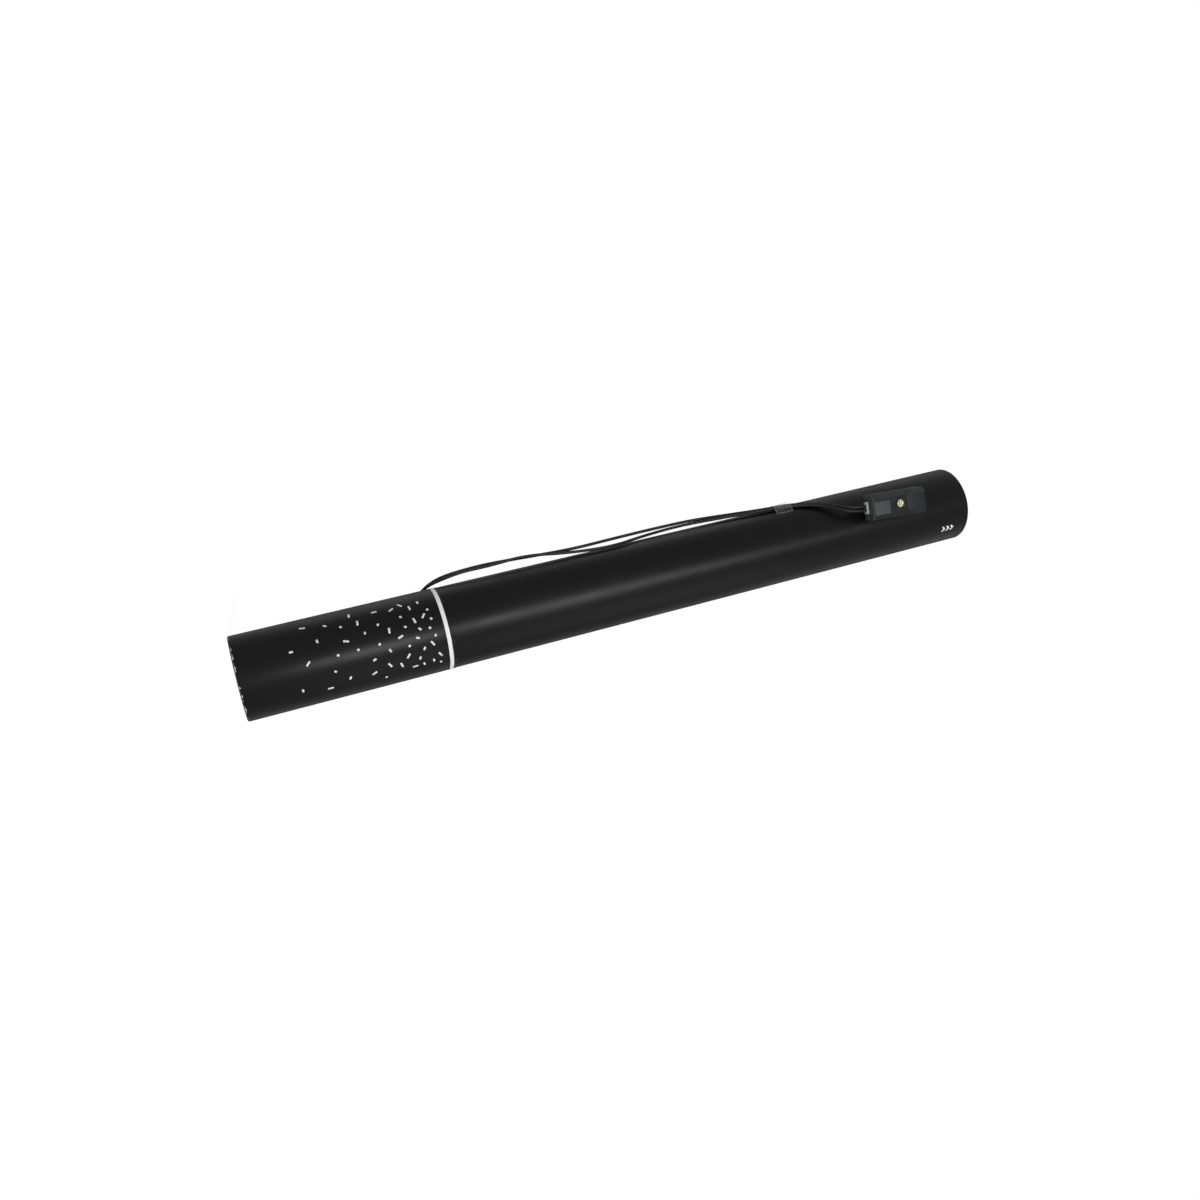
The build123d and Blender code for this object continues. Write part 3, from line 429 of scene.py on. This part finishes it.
# rubber and cable sheath: dull bloom over a soft sheen
rubberGrain = {
    "bloomScale": 140, "tones": (0.75, 1.30), "smoother": 0.10, "rougher": 0.10, "bump": 0.15, "depth": 0.00005,
}
rubberLooks = {
    "padRubber": {"colour": (0.037, 0.042, 0.042), "roughness": 0.62, "specular": 0.2},
    "sheath": {
        "colour": (0.0036, 0.0036, 0.0039), "roughness": 0.45, "scale": 2200, "specular": 0.2, "rimSpecular": 0.004,
    },
    "bushRubber": {"colour": (0.012, 0.012, 0.012), "roughness": 0.7},
    "sealRubber": {"colour": (0.014, 0.014, 0.015), "roughness": 0.6},
}


def rubberFinish(name, colour, roughness, scale=1500, specular=0.3, rimSpecular=None):
    grain = rubberGrain
    finish, tree, shader = startFinish(name, colour, roughness, specular=specular)
    place = objectPlace(tree)
    bloom = noise(tree, place, grain["bloomScale"], detail=4, rough=0.6)
    shadeTone(tree, shader, colour, bloom, *grain["tones"])
    varyRoughness(tree, shader, bloom, roughness - grain["smoother"], roughness + grain["rougher"])
    raiseGrain(tree, shader, noise(tree, place, scale, detail=2), grain["bump"], grain["depth"])
    if rimSpecular is not None:
        dullRim(tree, shader, specular, rimSpecular)
    return finish


# closed-cell foam with open pores
foamGrain = {
    "roughness": 0.9, "specular": 0.2, "cellSpan": (0.1, 0.6), "tones": (1.08, 0.70), "bump": 0.5, "depth": 0.0004,
}
foamLooks = {
    "foamTape": {"colour": (0.022, 0.022, 0.023), "scale": 1600},
    "wadFoam": {"colour": (0.78, 0.77, 0.73), "scale": 700},
}


def foamFinish(name, colour, scale):
    grain = foamGrain
    finish, tree, shader = startFinish(name, colour, grain["roughness"], specular=grain["specular"])
    place = objectPlace(tree)
    cells = addNode(tree, "ShaderNodeTexVoronoi", {"Vector": place, "Scale": scale}).outputs["Distance"]
    shadeTone(tree, shader, colour, spread(tree, cells, 0, 1, *grain["cellSpan"]), *grain["tones"])
    raiseGrain(tree, shader, cells, grain["bump"], grain["depth"])
    return finish


# white print: even ink with a slight paper tooth
inkGrain = {
    "roughness": 0.5, "specular": 0.25, "toothScale": 1600, "tones": (0.94, 1.02), "bump": 0.08, "depth": 0.00003,
}
inkLooks = {"whiteInk": {"colour": (0.62, 0.62, 0.615)}, "flecksInk": {"colour": (0.60, 0.60, 0.595)}}


def inkFinish(name, colour):
    grain = inkGrain
    finish, tree, shader = startFinish(name, colour, grain["roughness"], specular=grain["specular"])
    tooth = noise(tree, objectPlace(tree), grain["toothScale"], rough=0.7)
    shadeTone(tree, shader, colour, spread(tree, tooth, 0, 1, *noiseSpan), *grain["tones"])
    raiseGrain(tree, shader, tooth, grain["bump"], grain["depth"])
    return finish


# metallised film slips: each slip has its own tone
foilGrain = {
    "roughness": 0.16, "creaseScale": 160, "stretch": (1, 1, 0.4), "creaseShares": (0.6, 1),
    "gloss": (0.08, 0.26), "bump": 0.20, "depth": 0.0005,
}
foilLooks = {"slipFoil": {"colour": (0.86, 0.70, 0.06), "deep": (0.58, 0.40, 0.02)}}


def foilFinish(name, colour, deep):
    grain = foilGrain
    finish, tree, shader = startFinish(name, colour, grain["roughness"], metallic=1.0)
    place = objectPlace(tree)
    slipTone = addNode(tree, "ShaderNodeAttribute", attribute_name="slipTone").outputs["Fac"]
    crease = noise(tree, stretched(tree, place, grain["stretch"]), grain["creaseScale"])
    share = maths(tree, "MULTIPLY", slipTone, spread(tree, crease, *grain["creaseShares"], *noiseSpan))
    tree.links.new(blendColours(tree, share, (*deep, 1), (*colour, 1)), shader.inputs["Base Color"])
    varyRoughness(tree, shader, crease, *grain["gloss"])
    raiseGrain(tree, shader, crease, grain["bump"], grain["depth"])
    return finish


# clear packing tape: a thin film with fine stretch lines, with a painted highlight at its cut edges and a painted
# sheen where it bridges the wires
filmLook = {
    "tint": (0.095, 0.094, 0.088), "paintedLightTone": (0.92, 0.91, 0.86), "alpha": 0.12,
    "roughness": 0.22, "specular": 0.2, "lineScale": 1400, "stretch": (1, 1, 0.06),
    "tones": (0.85, 1.1), "gloss": (0.14, 0.34), "bump": 0.25, "depth": 0.0001,
    "crownSheen": 0.20, "crownTurns": (46.0, 51.0), "start": 42.0, "rimTurn": 2.0,
    "low": 0.3578, "high": 0.3703, "rimWidth": 0.0006,
}


def filmFinish(name, s):
    finish, tree, shader = startFinish(name, s["tint"], s["roughness"], specular=s["specular"])
    shader.inputs["Alpha"].default_value = s["alpha"]
    place = objectPlace(tree)
    spot = addNode(tree, "ShaderNodeSeparateXYZ", {0: place}).outputs
    lines = noise(tree, stretched(tree, place, s["stretch"]), s["lineScale"])
    tone = shadeTone(tree, shader, s["tint"], lines, *s["tones"])
    varyRoughness(tree, shader, lines, *s["gloss"])
    across, deep = maths(tree, "MULTIPLY", spot[0], -1), maths(tree, "MULTIPLY", spot[1], -1)
    turn = maths(tree, "MULTIPLY", maths(tree, "ARCTAN2", across, deep), 180 / math.pi)
    fromTop = maths(tree, "SUBTRACT", s["high"], spot[2])
    fromFoot = maths(tree, "SUBTRACT", spot[2], s["low"])
    # painted highlight along the cut edges and the tape's end, and painted sheen over the wires, blended in as a
    # paler tone
    cut = spread(tree, maths(tree, "MINIMUM", fromTop, fromFoot), 1, 0, 0, s["rimWidth"])
    edge = spread(tree, turn, 1, 0, s["start"], s["start"] + s["rimTurn"])
    crownSheen = spread(tree, turn, 0, s["crownSheen"], *s["crownTurns"])
    share = maths(tree, "MAXIMUM", maths(tree, "MAXIMUM", cut, edge), crownSheen)
    tree.links.new(blendColours(tree, share, tone, (*s["paintedLightTone"], 1)), shader.inputs["Base Color"])
    raiseGrain(tree, shader, lines, s["bump"], s["depth"])
    return finish


# resistor body with its colour bands, across the filament
exitWay = (-0.5736, 0.8192)
resistorLook = {
    "body": (0.42, 0.55, 0.62), "way": (exitWay[1], -exitWay[0], 0), "bodyHalf": 0.0045,
    "roughness": 0.35, "specular": 0.4, "lead": (0.62, 0.60, 0.57), "scale": 1200, "bump": 0.1, "depth": 0.00005,
    "bandHalf": 0.00035,
    "bands": [
        (-0.0024, (0.30, 0.12, 0.03)), (-0.0010, (0.01, 0.01, 0.01)),
        (0.0004, (0.01, 0.01, 0.01)), (0.0026, (0.65, 0.48, 0.16)),
    ],
}


def resistorFinish(name, s):
    finish, tree, shader = startFinish(name, s["body"], s["roughness"], specular=s["specular"])
    place = objectPlace(tree)
    along = measureAlong(tree, place, s["way"])
    paint = (*s["body"], 1)
    for middle, colour in s["bands"]:
        away = maths(tree, "ABSOLUTE", maths(tree, "SUBTRACT", along, middle))
        paint = blendColours(tree, maths(tree, "LESS_THAN", away, s["bandHalf"]), paint, (*colour, 1))
    lead = maths(tree, "GREATER_THAN", maths(tree, "ABSOLUTE", along), s["bodyHalf"])
    tree.links.new(blendColours(tree, lead, paint, (*s["lead"], 1)), shader.inputs["Base Color"])
    tree.links.new(lead, shader.inputs["Metallic"])
    raiseGrain(tree, shader, noise(tree, place, s["scale"], detail=2), s["bump"], s["depth"])
    return finish


finishes = {name: boardFinish(name, look) for name, look in boardLooks.items()}
finishes["clearFilm"] = filmFinish("clearFilm", filmLook)
finishes["resistor"] = resistorFinish("resistor", resistorLook)
families = [
    (inkFinish, inkLooks), (cardFinish, cardLooks), (mouldedFinish, mouldedLooks), (paintedLightFinish, litShellLooks),
    (rubberFinish, rubberLooks), (foamFinish, foamLooks), (metalFinish, metalLooks), (foilFinish, foilLooks),
]
for makeFinish, looks in families:
    finishes.update({name: makeFinish(name, **look) for name, look in looks.items()})
nodeFinishes = {
    "base_sleeve": "sleeveBoard", "joint_coupler": "couplerBoard", "wad_card": "couplerBoard",
    "gas_cylinder": "bottleSteel", "pierce_disc": "discFoil", "neck_seal": "sealRubber",
    "firing_block": "blockPlastic", "spring_cap": "blockPlastic", "striker": "blockPlastic",
    "striker_needle": "springSteel", "striker_spring": "springSteel", "burn_filament": "filament",
    "fuse_resistor": "resistor", "crimp_sleeves": "springSteel", "inner_wires": "sheath",
    "connector_pins": "pinBrass", "terminal_screws": "springSteel", "wire_tails": "sheath",
}
for nodeName, finishName in nodeFinishes.items():
    nodes[nodeName].data.materials.clear()
    nodes[nodeName].data.materials.append(finishes[finishName])
print("finishes made:", len(finishes))


def standFor(piece, slotName, *names):
    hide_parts(*names)
    return piece


# the lead: two limp wires on the part's own route, in metres
leads = {
    "leadWireA": {
        "node": "lead_wire_a", "length": 0.3517,
        "route": [
            (-0.015257, 0.021789, 0.10125), (-0.019043, 0.027196, 0.10125),
            (-0.0249, 0.0289, 0.1046), (-0.0299, 0.0236, 0.1110), (-0.0279, 0.0142, 0.1162),
            (-0.0279, 0.0072, 0.1185), (-0.0286, 0.0008, 0.1206), (-0.0307, -0.0034, 0.1281),
            (-0.0314, -0.0064, 0.1400), (-0.0317, -0.0076, 0.1580), (-0.0305, -0.0070, 0.1840),
            (-0.0288, -0.0068, 0.2140), (-0.0296, -0.0058, 0.2440), (-0.0300, -0.0056, 0.2730),
            (-0.0296, -0.0064, 0.3020), (-0.0268, -0.0086, 0.3300), (-0.0241, -0.0122, 0.3525),
            (-0.0223, -0.0152, 0.3745), (-0.0164, -0.0219, 0.3913), (-0.0088, -0.0299, 0.4010),
            (-0.005631, -0.033058, 0.408075), (-0.005247, -0.032933, 0.414863),
        ],
    },
    "leadWireB": {
        "node": "lead_wire_b", "length": 0.3553,
        "route": [
            (-0.015257, 0.021789, 0.09875), (-0.019043, 0.027196, 0.09875),
            (-0.0249, 0.0286, 0.1018), (-0.0296, 0.0229, 0.1072), (-0.0276, 0.0132, 0.1123),
            (-0.0265, 0.0057, 0.1169), (-0.0276, -0.0020, 0.1196), (-0.0286, -0.0065, 0.1280),
            (-0.0302, -0.0087, 0.1420), (-0.0297, -0.0095, 0.1600), (-0.0308, -0.0105, 0.1840),
            (-0.0257, -0.0113, 0.2120), (-0.0225, -0.0148, 0.2400), (-0.0262, -0.0087, 0.2660),
            (-0.0273, -0.0084, 0.2920), (-0.0253, -0.0112, 0.3200), (-0.0228, -0.0146, 0.3500),
            (-0.0209, -0.0170, 0.3735), (-0.0151, -0.0231, 0.3894), (-0.0064, -0.0313, 0.3991),
            (-0.003257, -0.032287, 0.407927), (-0.002874, -0.032162, 0.414715),
        ],
    },
}
wireWidth = 0.002


def runLead(name, lead):
    data = bpy.data.curves.new(name, "CURVE")
    data.dimensions = "3D"
    line = data.splines.new("NURBS")
    line.points.add(len(lead["route"]) - 1)
    for point, spot in zip(line.points, lead["route"]):
        point.co = (*spot, 1)
    line.order_u = 3
    line.use_endpoint_u = True
    line.resolution_u = 10
    data.bevel_depth = wireWidth / 2
    data.bevel_resolution = 3
    data.use_fill_caps = True
    data.materials.append(finishes["sheath"])
    wire = bpy.data.objects.new(name, data)
    scene.collection.objects.link(wire)
    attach(wire, "cannon")
    return standFor(wire, "wire_sheath", lead["node"])


wires = {name: runLead(name, lead) for name, lead in leads.items()}
print("lead laid:", len(wires), "wires")


# round pieces: a profile spun about the tube's axis, with its corners eased
def spinPiece(name, profile, ease, steps, finish, body="cannon"):
    shape = bmesh.new()
    shape.faces.new([shape.verts.new((radius, 0, height)) for radius, height in profile])
    bmesh.ops.bevel(
        shape, geom=list(shape.verts), offset=ease, affect="VERTICES", segments=3, profile=0.5, material=-1)
    bmesh.ops.delete(shape, geom=list(shape.faces), context="FACES_ONLY")
    bmesh.ops.spin(
        shape, geom=list(shape.verts) + list(shape.edges), cent=(0, 0, 0), axis=(0, 0, 1),
        angle=2 * math.pi, steps=steps, use_merge=True)
    bmesh.ops.remove_doubles(shape, verts=list(shape.verts), dist=1e-7)
    bmesh.ops.recalc_face_normals(shape, faces=list(shape.faces))
    return makePiece(name, shape, body, finishes[finish], corner=30)


tubeSteps = 180
tubes = {
    "barrelTube": {
        "bore": 0.0230, "outer": 0.0255, "low": 0.12405, "high": 0.5, "ease": 0.0002,
        "finish": "barrelBoard", "slot": "black_board", "node": "barrel_tube",
    },
    "wrapSkin": {
        "bore": 0.02555, "outer": 0.0257, "low": 0.0006, "high": 0.124, "ease": 0.00006,
        "finish": "wrapPaper", "slot": "printed_wrap", "node": "base_wrap",
    },
    "ringBand": {
        "bore": 0.02575, "outer": 0.02587, "low": 0.1201, "high": 0.1225, "ease": 0.00004,
        "finish": "whiteInk", "slot": "white_print", "node": "white_band",
    },
}
for name, s in tubes.items():
    profile = [(s["bore"], s["low"]), (s["outer"], s["low"]), (s["outer"], s["high"]), (s["bore"], s["high"])]
    standFor(spinPiece(name, profile, s["ease"], tubeSteps, s["finish"]), s["slot"], s["node"])

dish = {
    "hub": 0.0001, "radius": 0.0227, "wall": 0.0014, "floor": 0.0015,
    "low": 0.4885, "high": 0.4985, "ease": 0.0003, "steps": 120,
}


def dishProfile(s):
    inner, floor = s["radius"] - s["wall"], s["low"] + s["floor"]
    return [
        (s["hub"], s["low"]), (s["radius"], s["low"]), (s["radius"], s["high"]),
        (inner, s["high"]), (inner, floor), (s["hub"], floor),
    ]


muzzleDish = spinPiece("muzzleDish", dishProfile(dish), dish["ease"], dish["steps"], "plugCard", "muzzle_plug")
standFor(muzzleDish, "plug_board", "muzzle_plug")
print("tubes spun")


# rounded copies of the part's own solids, for edges that catch light
def roundedCopy(name, node, ease, finish, body, slotName, segments=2, corner=25):
    shape = bmesh.new()
    shape.from_mesh(nodes[node].data)
    bmesh.ops.remove_doubles(shape, verts=list(shape.verts), dist=2e-6)
    bmesh.ops.dissolve_limit(
        shape, angle_limit=math.radians(1), verts=list(shape.verts), edges=list(shape.edges))
    if ease:
        pairs = [edge for edge in shape.edges if len(edge.link_faces) == 2]
        sharp = [edge for edge in pairs if edge.calc_face_angle(0) > math.radians(corner)]
        bmesh.ops.bevel(
            shape, geom=sharp, offset=ease, affect="EDGES", segments=segments, profile=0.5, material=-1,
            clamp_overlap=True)
    return standFor(makePiece(name, shape, body, finishes[finish], corner=40), slotName, node)


copies = {
    "plugBase": ("connector_base", 0.0004, "shellPlastic", "cannon", "black_plastic"),
    "plugCover": ("connector_cover", 0.0004, "shellPlastic", "cannon", "black_plastic"),
    "plugNose": ("connector_nose", 0.0004, "nosePlastic", "cannon", "nose_plastic"),
    "cordGrip": ("cord_grip", 0.0003, "gripNylon", "cannon", "grip_nylon"),
    "coverScrew": ("cover_screw", 0.00012, "screwZinc", "cannon", "screw_zinc"),
    "plugFoam": ("connector_foam", 0, "foamTape", "cannon", "bush_rubber"),
    "exitBush": ("exit_bush", 0.0002, "bushRubber", "cannon", "bush_rubber"),
    "baseCap": ("base_cap", 0.0003, "capPlastic", "cannon", "black_plastic"),
    "pusherWad": ("pusher_wad", 0.0006, "wadFoam", "charge", "wad_foam"),
}
made = {}
for pieceName, (node, ease, finish, body, slotName) in copies.items():
    made[pieceName] = roundedCopy(pieceName, node, ease, finish, body, slotName)
print("rounded copies:", len(made))

# where the connector lies: rolled on the tube, its axis a little askew
plugFrame = {"foot": (-0.004042, -0.028336, 0.4370), "roll": -18.0, "yaw": 3.4}


def plugPlace(s):
    roll, yaw = math.radians(s["roll"]), math.radians(s["yaw"])
    out = Vector((-math.sin(roll), -math.cos(roll), 0))
    side = Vector((-math.cos(roll), math.sin(roll), 0))
    along = Vector((0, 0, math.cos(yaw))) - side * math.sin(yaw)
    turn = Matrix((along, out.cross(along), out)).transposed().to_4x4()
    return Matrix.Translation(s["foot"]) @ turn


plugMatrix = plugPlace(plugFrame)
patch = {
    "middle": -0.01425, "side": -0.0011, "size": (0.0122, 0.0088), "rise": 0.0006, "seat": 0.01155, "ease": 0.00018,
    "pips": (9, 6), "pitch": 0.00130, "pip": 0.00045, "pipRise": 0.0003,
}


# dotted grip patch: an eased pad with a grid of low pips
def makePatch(s):
    shape = bmesh.new()
    middle = Matrix.Translation((s["middle"], s["side"], s["seat"] + s["rise"] / 2))
    bmesh.ops.create_cube(shape, size=1, matrix=middle @ Matrix.Diagonal((*s["size"], s["rise"], 1)))
    bmesh.ops.bevel(
        shape, geom=list(shape.edges), offset=s["ease"], affect="EDGES", segments=2, profile=0.5, material=-1)
    across, up = s["pips"]
    pipSize = Matrix.Diagonal((s["pip"], s["pip"], s["pipRise"], 1))
    for column in range(across):
        for row in range(up):
            along = s["middle"] + (column - (across - 1) / 2) * s["pitch"]
            beside = s["side"] + (row - (up - 1) / 2) * s["pitch"]
            spot = Matrix.Translation((along, beside, s["seat"] + s["rise"]))
            bmesh.ops.create_icosphere(shape, subdivisions=1, radius=1, matrix=spot @ pipSize)
    bmesh.ops.transform(shape, matrix=plugMatrix, verts=list(shape.verts))
    bmesh.ops.recalc_face_normals(shape, faces=list(shape.faces))
    piece = makePiece("gripPatch", shape, "cannon", finishes["padRubber"], corner=50)
    return standFor(piece, "pad_rubber", "grip_pad")


made["gripPatch"] = makePatch(patch)

# clear tape: spun round the tube, lifted over the two wires and pressed down beside them
tape = {
    "radius": 0.02560, "low": 0.3578, "high": 0.3703, "start": 42.0, "end": 112.0, "steps": 72, "cuts": 7,
    "film": 0.0001, "liftFrom": 44.5, "liftTo": 69.5, "lift": 0.0027, "steep": 3.4,
}


def layTape(s):
    shape = bmesh.new()
    first = math.radians(s["start"])
    across, deep = -s["radius"] * math.sin(first), -s["radius"] * math.cos(first)
    edge = shape.edges.new([shape.verts.new((across, deep, height)) for height in (s["low"], s["high"])])
    bmesh.ops.subdivide_edges(shape, edges=[edge], cuts=s["cuts"])
    bmesh.ops.spin(
        shape, geom=list(shape.verts) + list(shape.edges), cent=(0, 0, 0), axis=(0, 0, 1),
        angle=-math.radians(s["end"] - s["start"]), steps=s["steps"], use_merge=False)
    for vert in shape.verts:
        turn = math.degrees(math.atan2(-vert.co.x, -vert.co.y))
        share = (turn - s["liftFrom"]) / (s["liftTo"] - s["liftFrom"])
        if 0 < share < 1:
            rise = min(1.0, s["steep"] * share, s["steep"] * (1 - share))
            rise = s["lift"] * rise * rise * (3 - 2 * rise)
            scale = 1 + rise / s["radius"]
            vert.co.x *= scale
            vert.co.y *= scale
    bmesh.ops.recalc_face_normals(shape, faces=list(shape.faces))
    piece = makePiece("tapeStrip", shape, "cannon", finishes["clearFilm"], corner=60)
    thicken(piece, s["film"], 1)
    return standFor(piece, "clear_tape", "tape_strip")


made["tapeStrip"] = layTape(tape)
print("plug and tape dressed")

# three plain arrow marks near the muzzle, and a scatter of plain flecks on the wrap
arrows = {
    "radius": 0.02553, "turn": -52.6, "tips": (0.4816, 0.4851, 0.4886),
    "reach": 0.00175, "half": 0.00215, "stroke": 0.00160, "film": 0.00003,
}
flecks = {
    "radius": 0.02573, "film": 0.00003, "seed": 5, "tries": 900, "low": 0.030, "high": 0.1150, "turns": (-62, 42),
    "room": 0.0046, "thinning": 0.075, "sizes": [(0.0034, 0.0012), (0.0022, 0.0012), (0.0015, 0.0013)],
}


def bendRound(shape, radius, turn):
    for vert in shape.verts:
        angle = math.radians(turn) + vert.co.x / radius
        out = radius + vert.co.y
        vert.co = (-out * math.sin(angle), -out * math.cos(angle), vert.co.z)


def printArrows(s):
    shape = bmesh.new()
    for tip in s["tips"]:
        for side in (-1, 1):
            wing, foot = side * s["half"], tip - s["reach"]
            outline = [(0, tip), (0, tip - s["stroke"]), (wing, foot - s["stroke"]), (wing, foot)]
            face = shape.faces.new([shape.verts.new((x, 0, z)) for x, z in outline])
            bmesh.ops.subdivide_edges(shape, edges=[face.edges[1], face.edges[3]], cuts=3, use_grid_fill=True)
    bmesh.ops.remove_doubles(shape, verts=list(shape.verts), dist=1e-6)
    bendRound(shape, s["radius"], s["turn"])
    bmesh.ops.recalc_face_normals(shape, faces=list(shape.faces))
    piece = makePiece("arrowMarks", shape, "cannon", finishes["whiteInk"])
    thicken(piece, s["film"], -1)


# flecks like falling slips, thinner towards the base
def printFlecks(s):
    draw = random.Random(s["seed"])
    shape = bmesh.new()
    placed = []
    for _ in range(s["tries"]):
        height = draw.uniform(s["low"], s["high"])
        across = math.radians(draw.uniform(*s["turns"])) * s["radius"]
        room = s["room"] + s["thinning"] * (s["high"] - height)
        size = draw.choice(s["sizes"])
        tilt = draw.uniform(-math.pi, math.pi)
        if any(math.hypot(across - x, height - z) < room for x, z in placed):
            continue
        placed.append((across, height))
        turn = Matrix.Rotation(tilt, 4, "Y") @ Matrix.Rotation(math.pi / 2, 4, "X")
        place = Matrix.Translation((across, 0, height)) @ turn @ Matrix.Diagonal((*size, 1, 1))
        bmesh.ops.create_grid(shape, x_segments=4, y_segments=2, size=0.5, matrix=place)
    bendRound(shape, s["radius"], 0)
    bmesh.ops.recalc_face_normals(shape, faces=list(shape.faces))
    piece = makePiece("wrapFlecks", shape, "cannon", finishes["flecksInk"])
    thicken(piece, s["film"], -1)
    print("flecks printed:", len(placed))


printArrows(arrows)
printFlecks(flecks)

# confetti slips, standing on end in their four bundles
slips = {
    "tiers": 6, "width": 0.0196, "gap": 0.0008, "film": 0.00010, "seed": 11, "tones": (0.2, 1.0),
    "bow": 0.00018, "shift": 0.00018, "slide": 0.0005,
    "bundles": [
        (-0.010391, 0.0, 0.0192), (0.010391, 0.0, 0.0192),
        (0.0, -0.01559, 0.0090), (0.0, 0.01559, 0.0090),
    ],
}


def stackSlips(tier, s):
    low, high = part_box(f"confetti_tier_{tier}")
    draw = random.Random(s["seed"] + tier)
    shape = bmesh.new()
    toneLayer = shape.verts.layers.float.new("slipTone")
    height = high.z - low.z - 2 * s["slide"]
    middle = (low.z + high.z) / 2
    upright = Matrix.Rotation(math.pi / 2, 4, "X") @ Matrix.Diagonal((s["width"] / 2, height / 2, 1, 1))
    for across, depth, thick in s["bundles"]:
        count = round(thick / s["gap"])
        for number in range(count):
            spot = depth + (number - (count - 1) / 2) * s["gap"]
            shifted = across + draw.uniform(-1, 1) * s["shift"]
            raised = middle + draw.uniform(-1, 1) * s["slide"]
            place = Matrix.Translation((shifted, spot, raised)) @ upright
            grid = bmesh.ops.create_grid(shape, x_segments=2, y_segments=5, size=1, matrix=place)
            bow = draw.uniform(-1, 1) * s["bow"]
            tone = draw.uniform(*s["tones"])
            for vert in grid["verts"]:
                vert.co.y += bow * math.cos(math.pi * (vert.co.z - middle) / height)
                vert[toneLayer] = tone
    piece = makePiece(f"confettiSlips{tier}", shape, "charge", finishes["slipFoil"], corner=60)
    thicken(piece, s["film"], 0)
    standFor(piece, "gold_foil_paper", f"confetti_tier_{tier}")


for tier in range(1, slips["tiers"] + 1):
    stackSlips(tier, slips)
print("slips stacked")

# the pieces on the lead's end
plugPieces = ("plugBase", "plugCover", "plugNose", "cordGrip", "coverScrew", "plugFoam", "gripPatch")
onLead = [made[name] for name in plugPieces]
onLead += [nodes[name] for name in ("connector_pins", "terminal_screws", "wire_tails")]
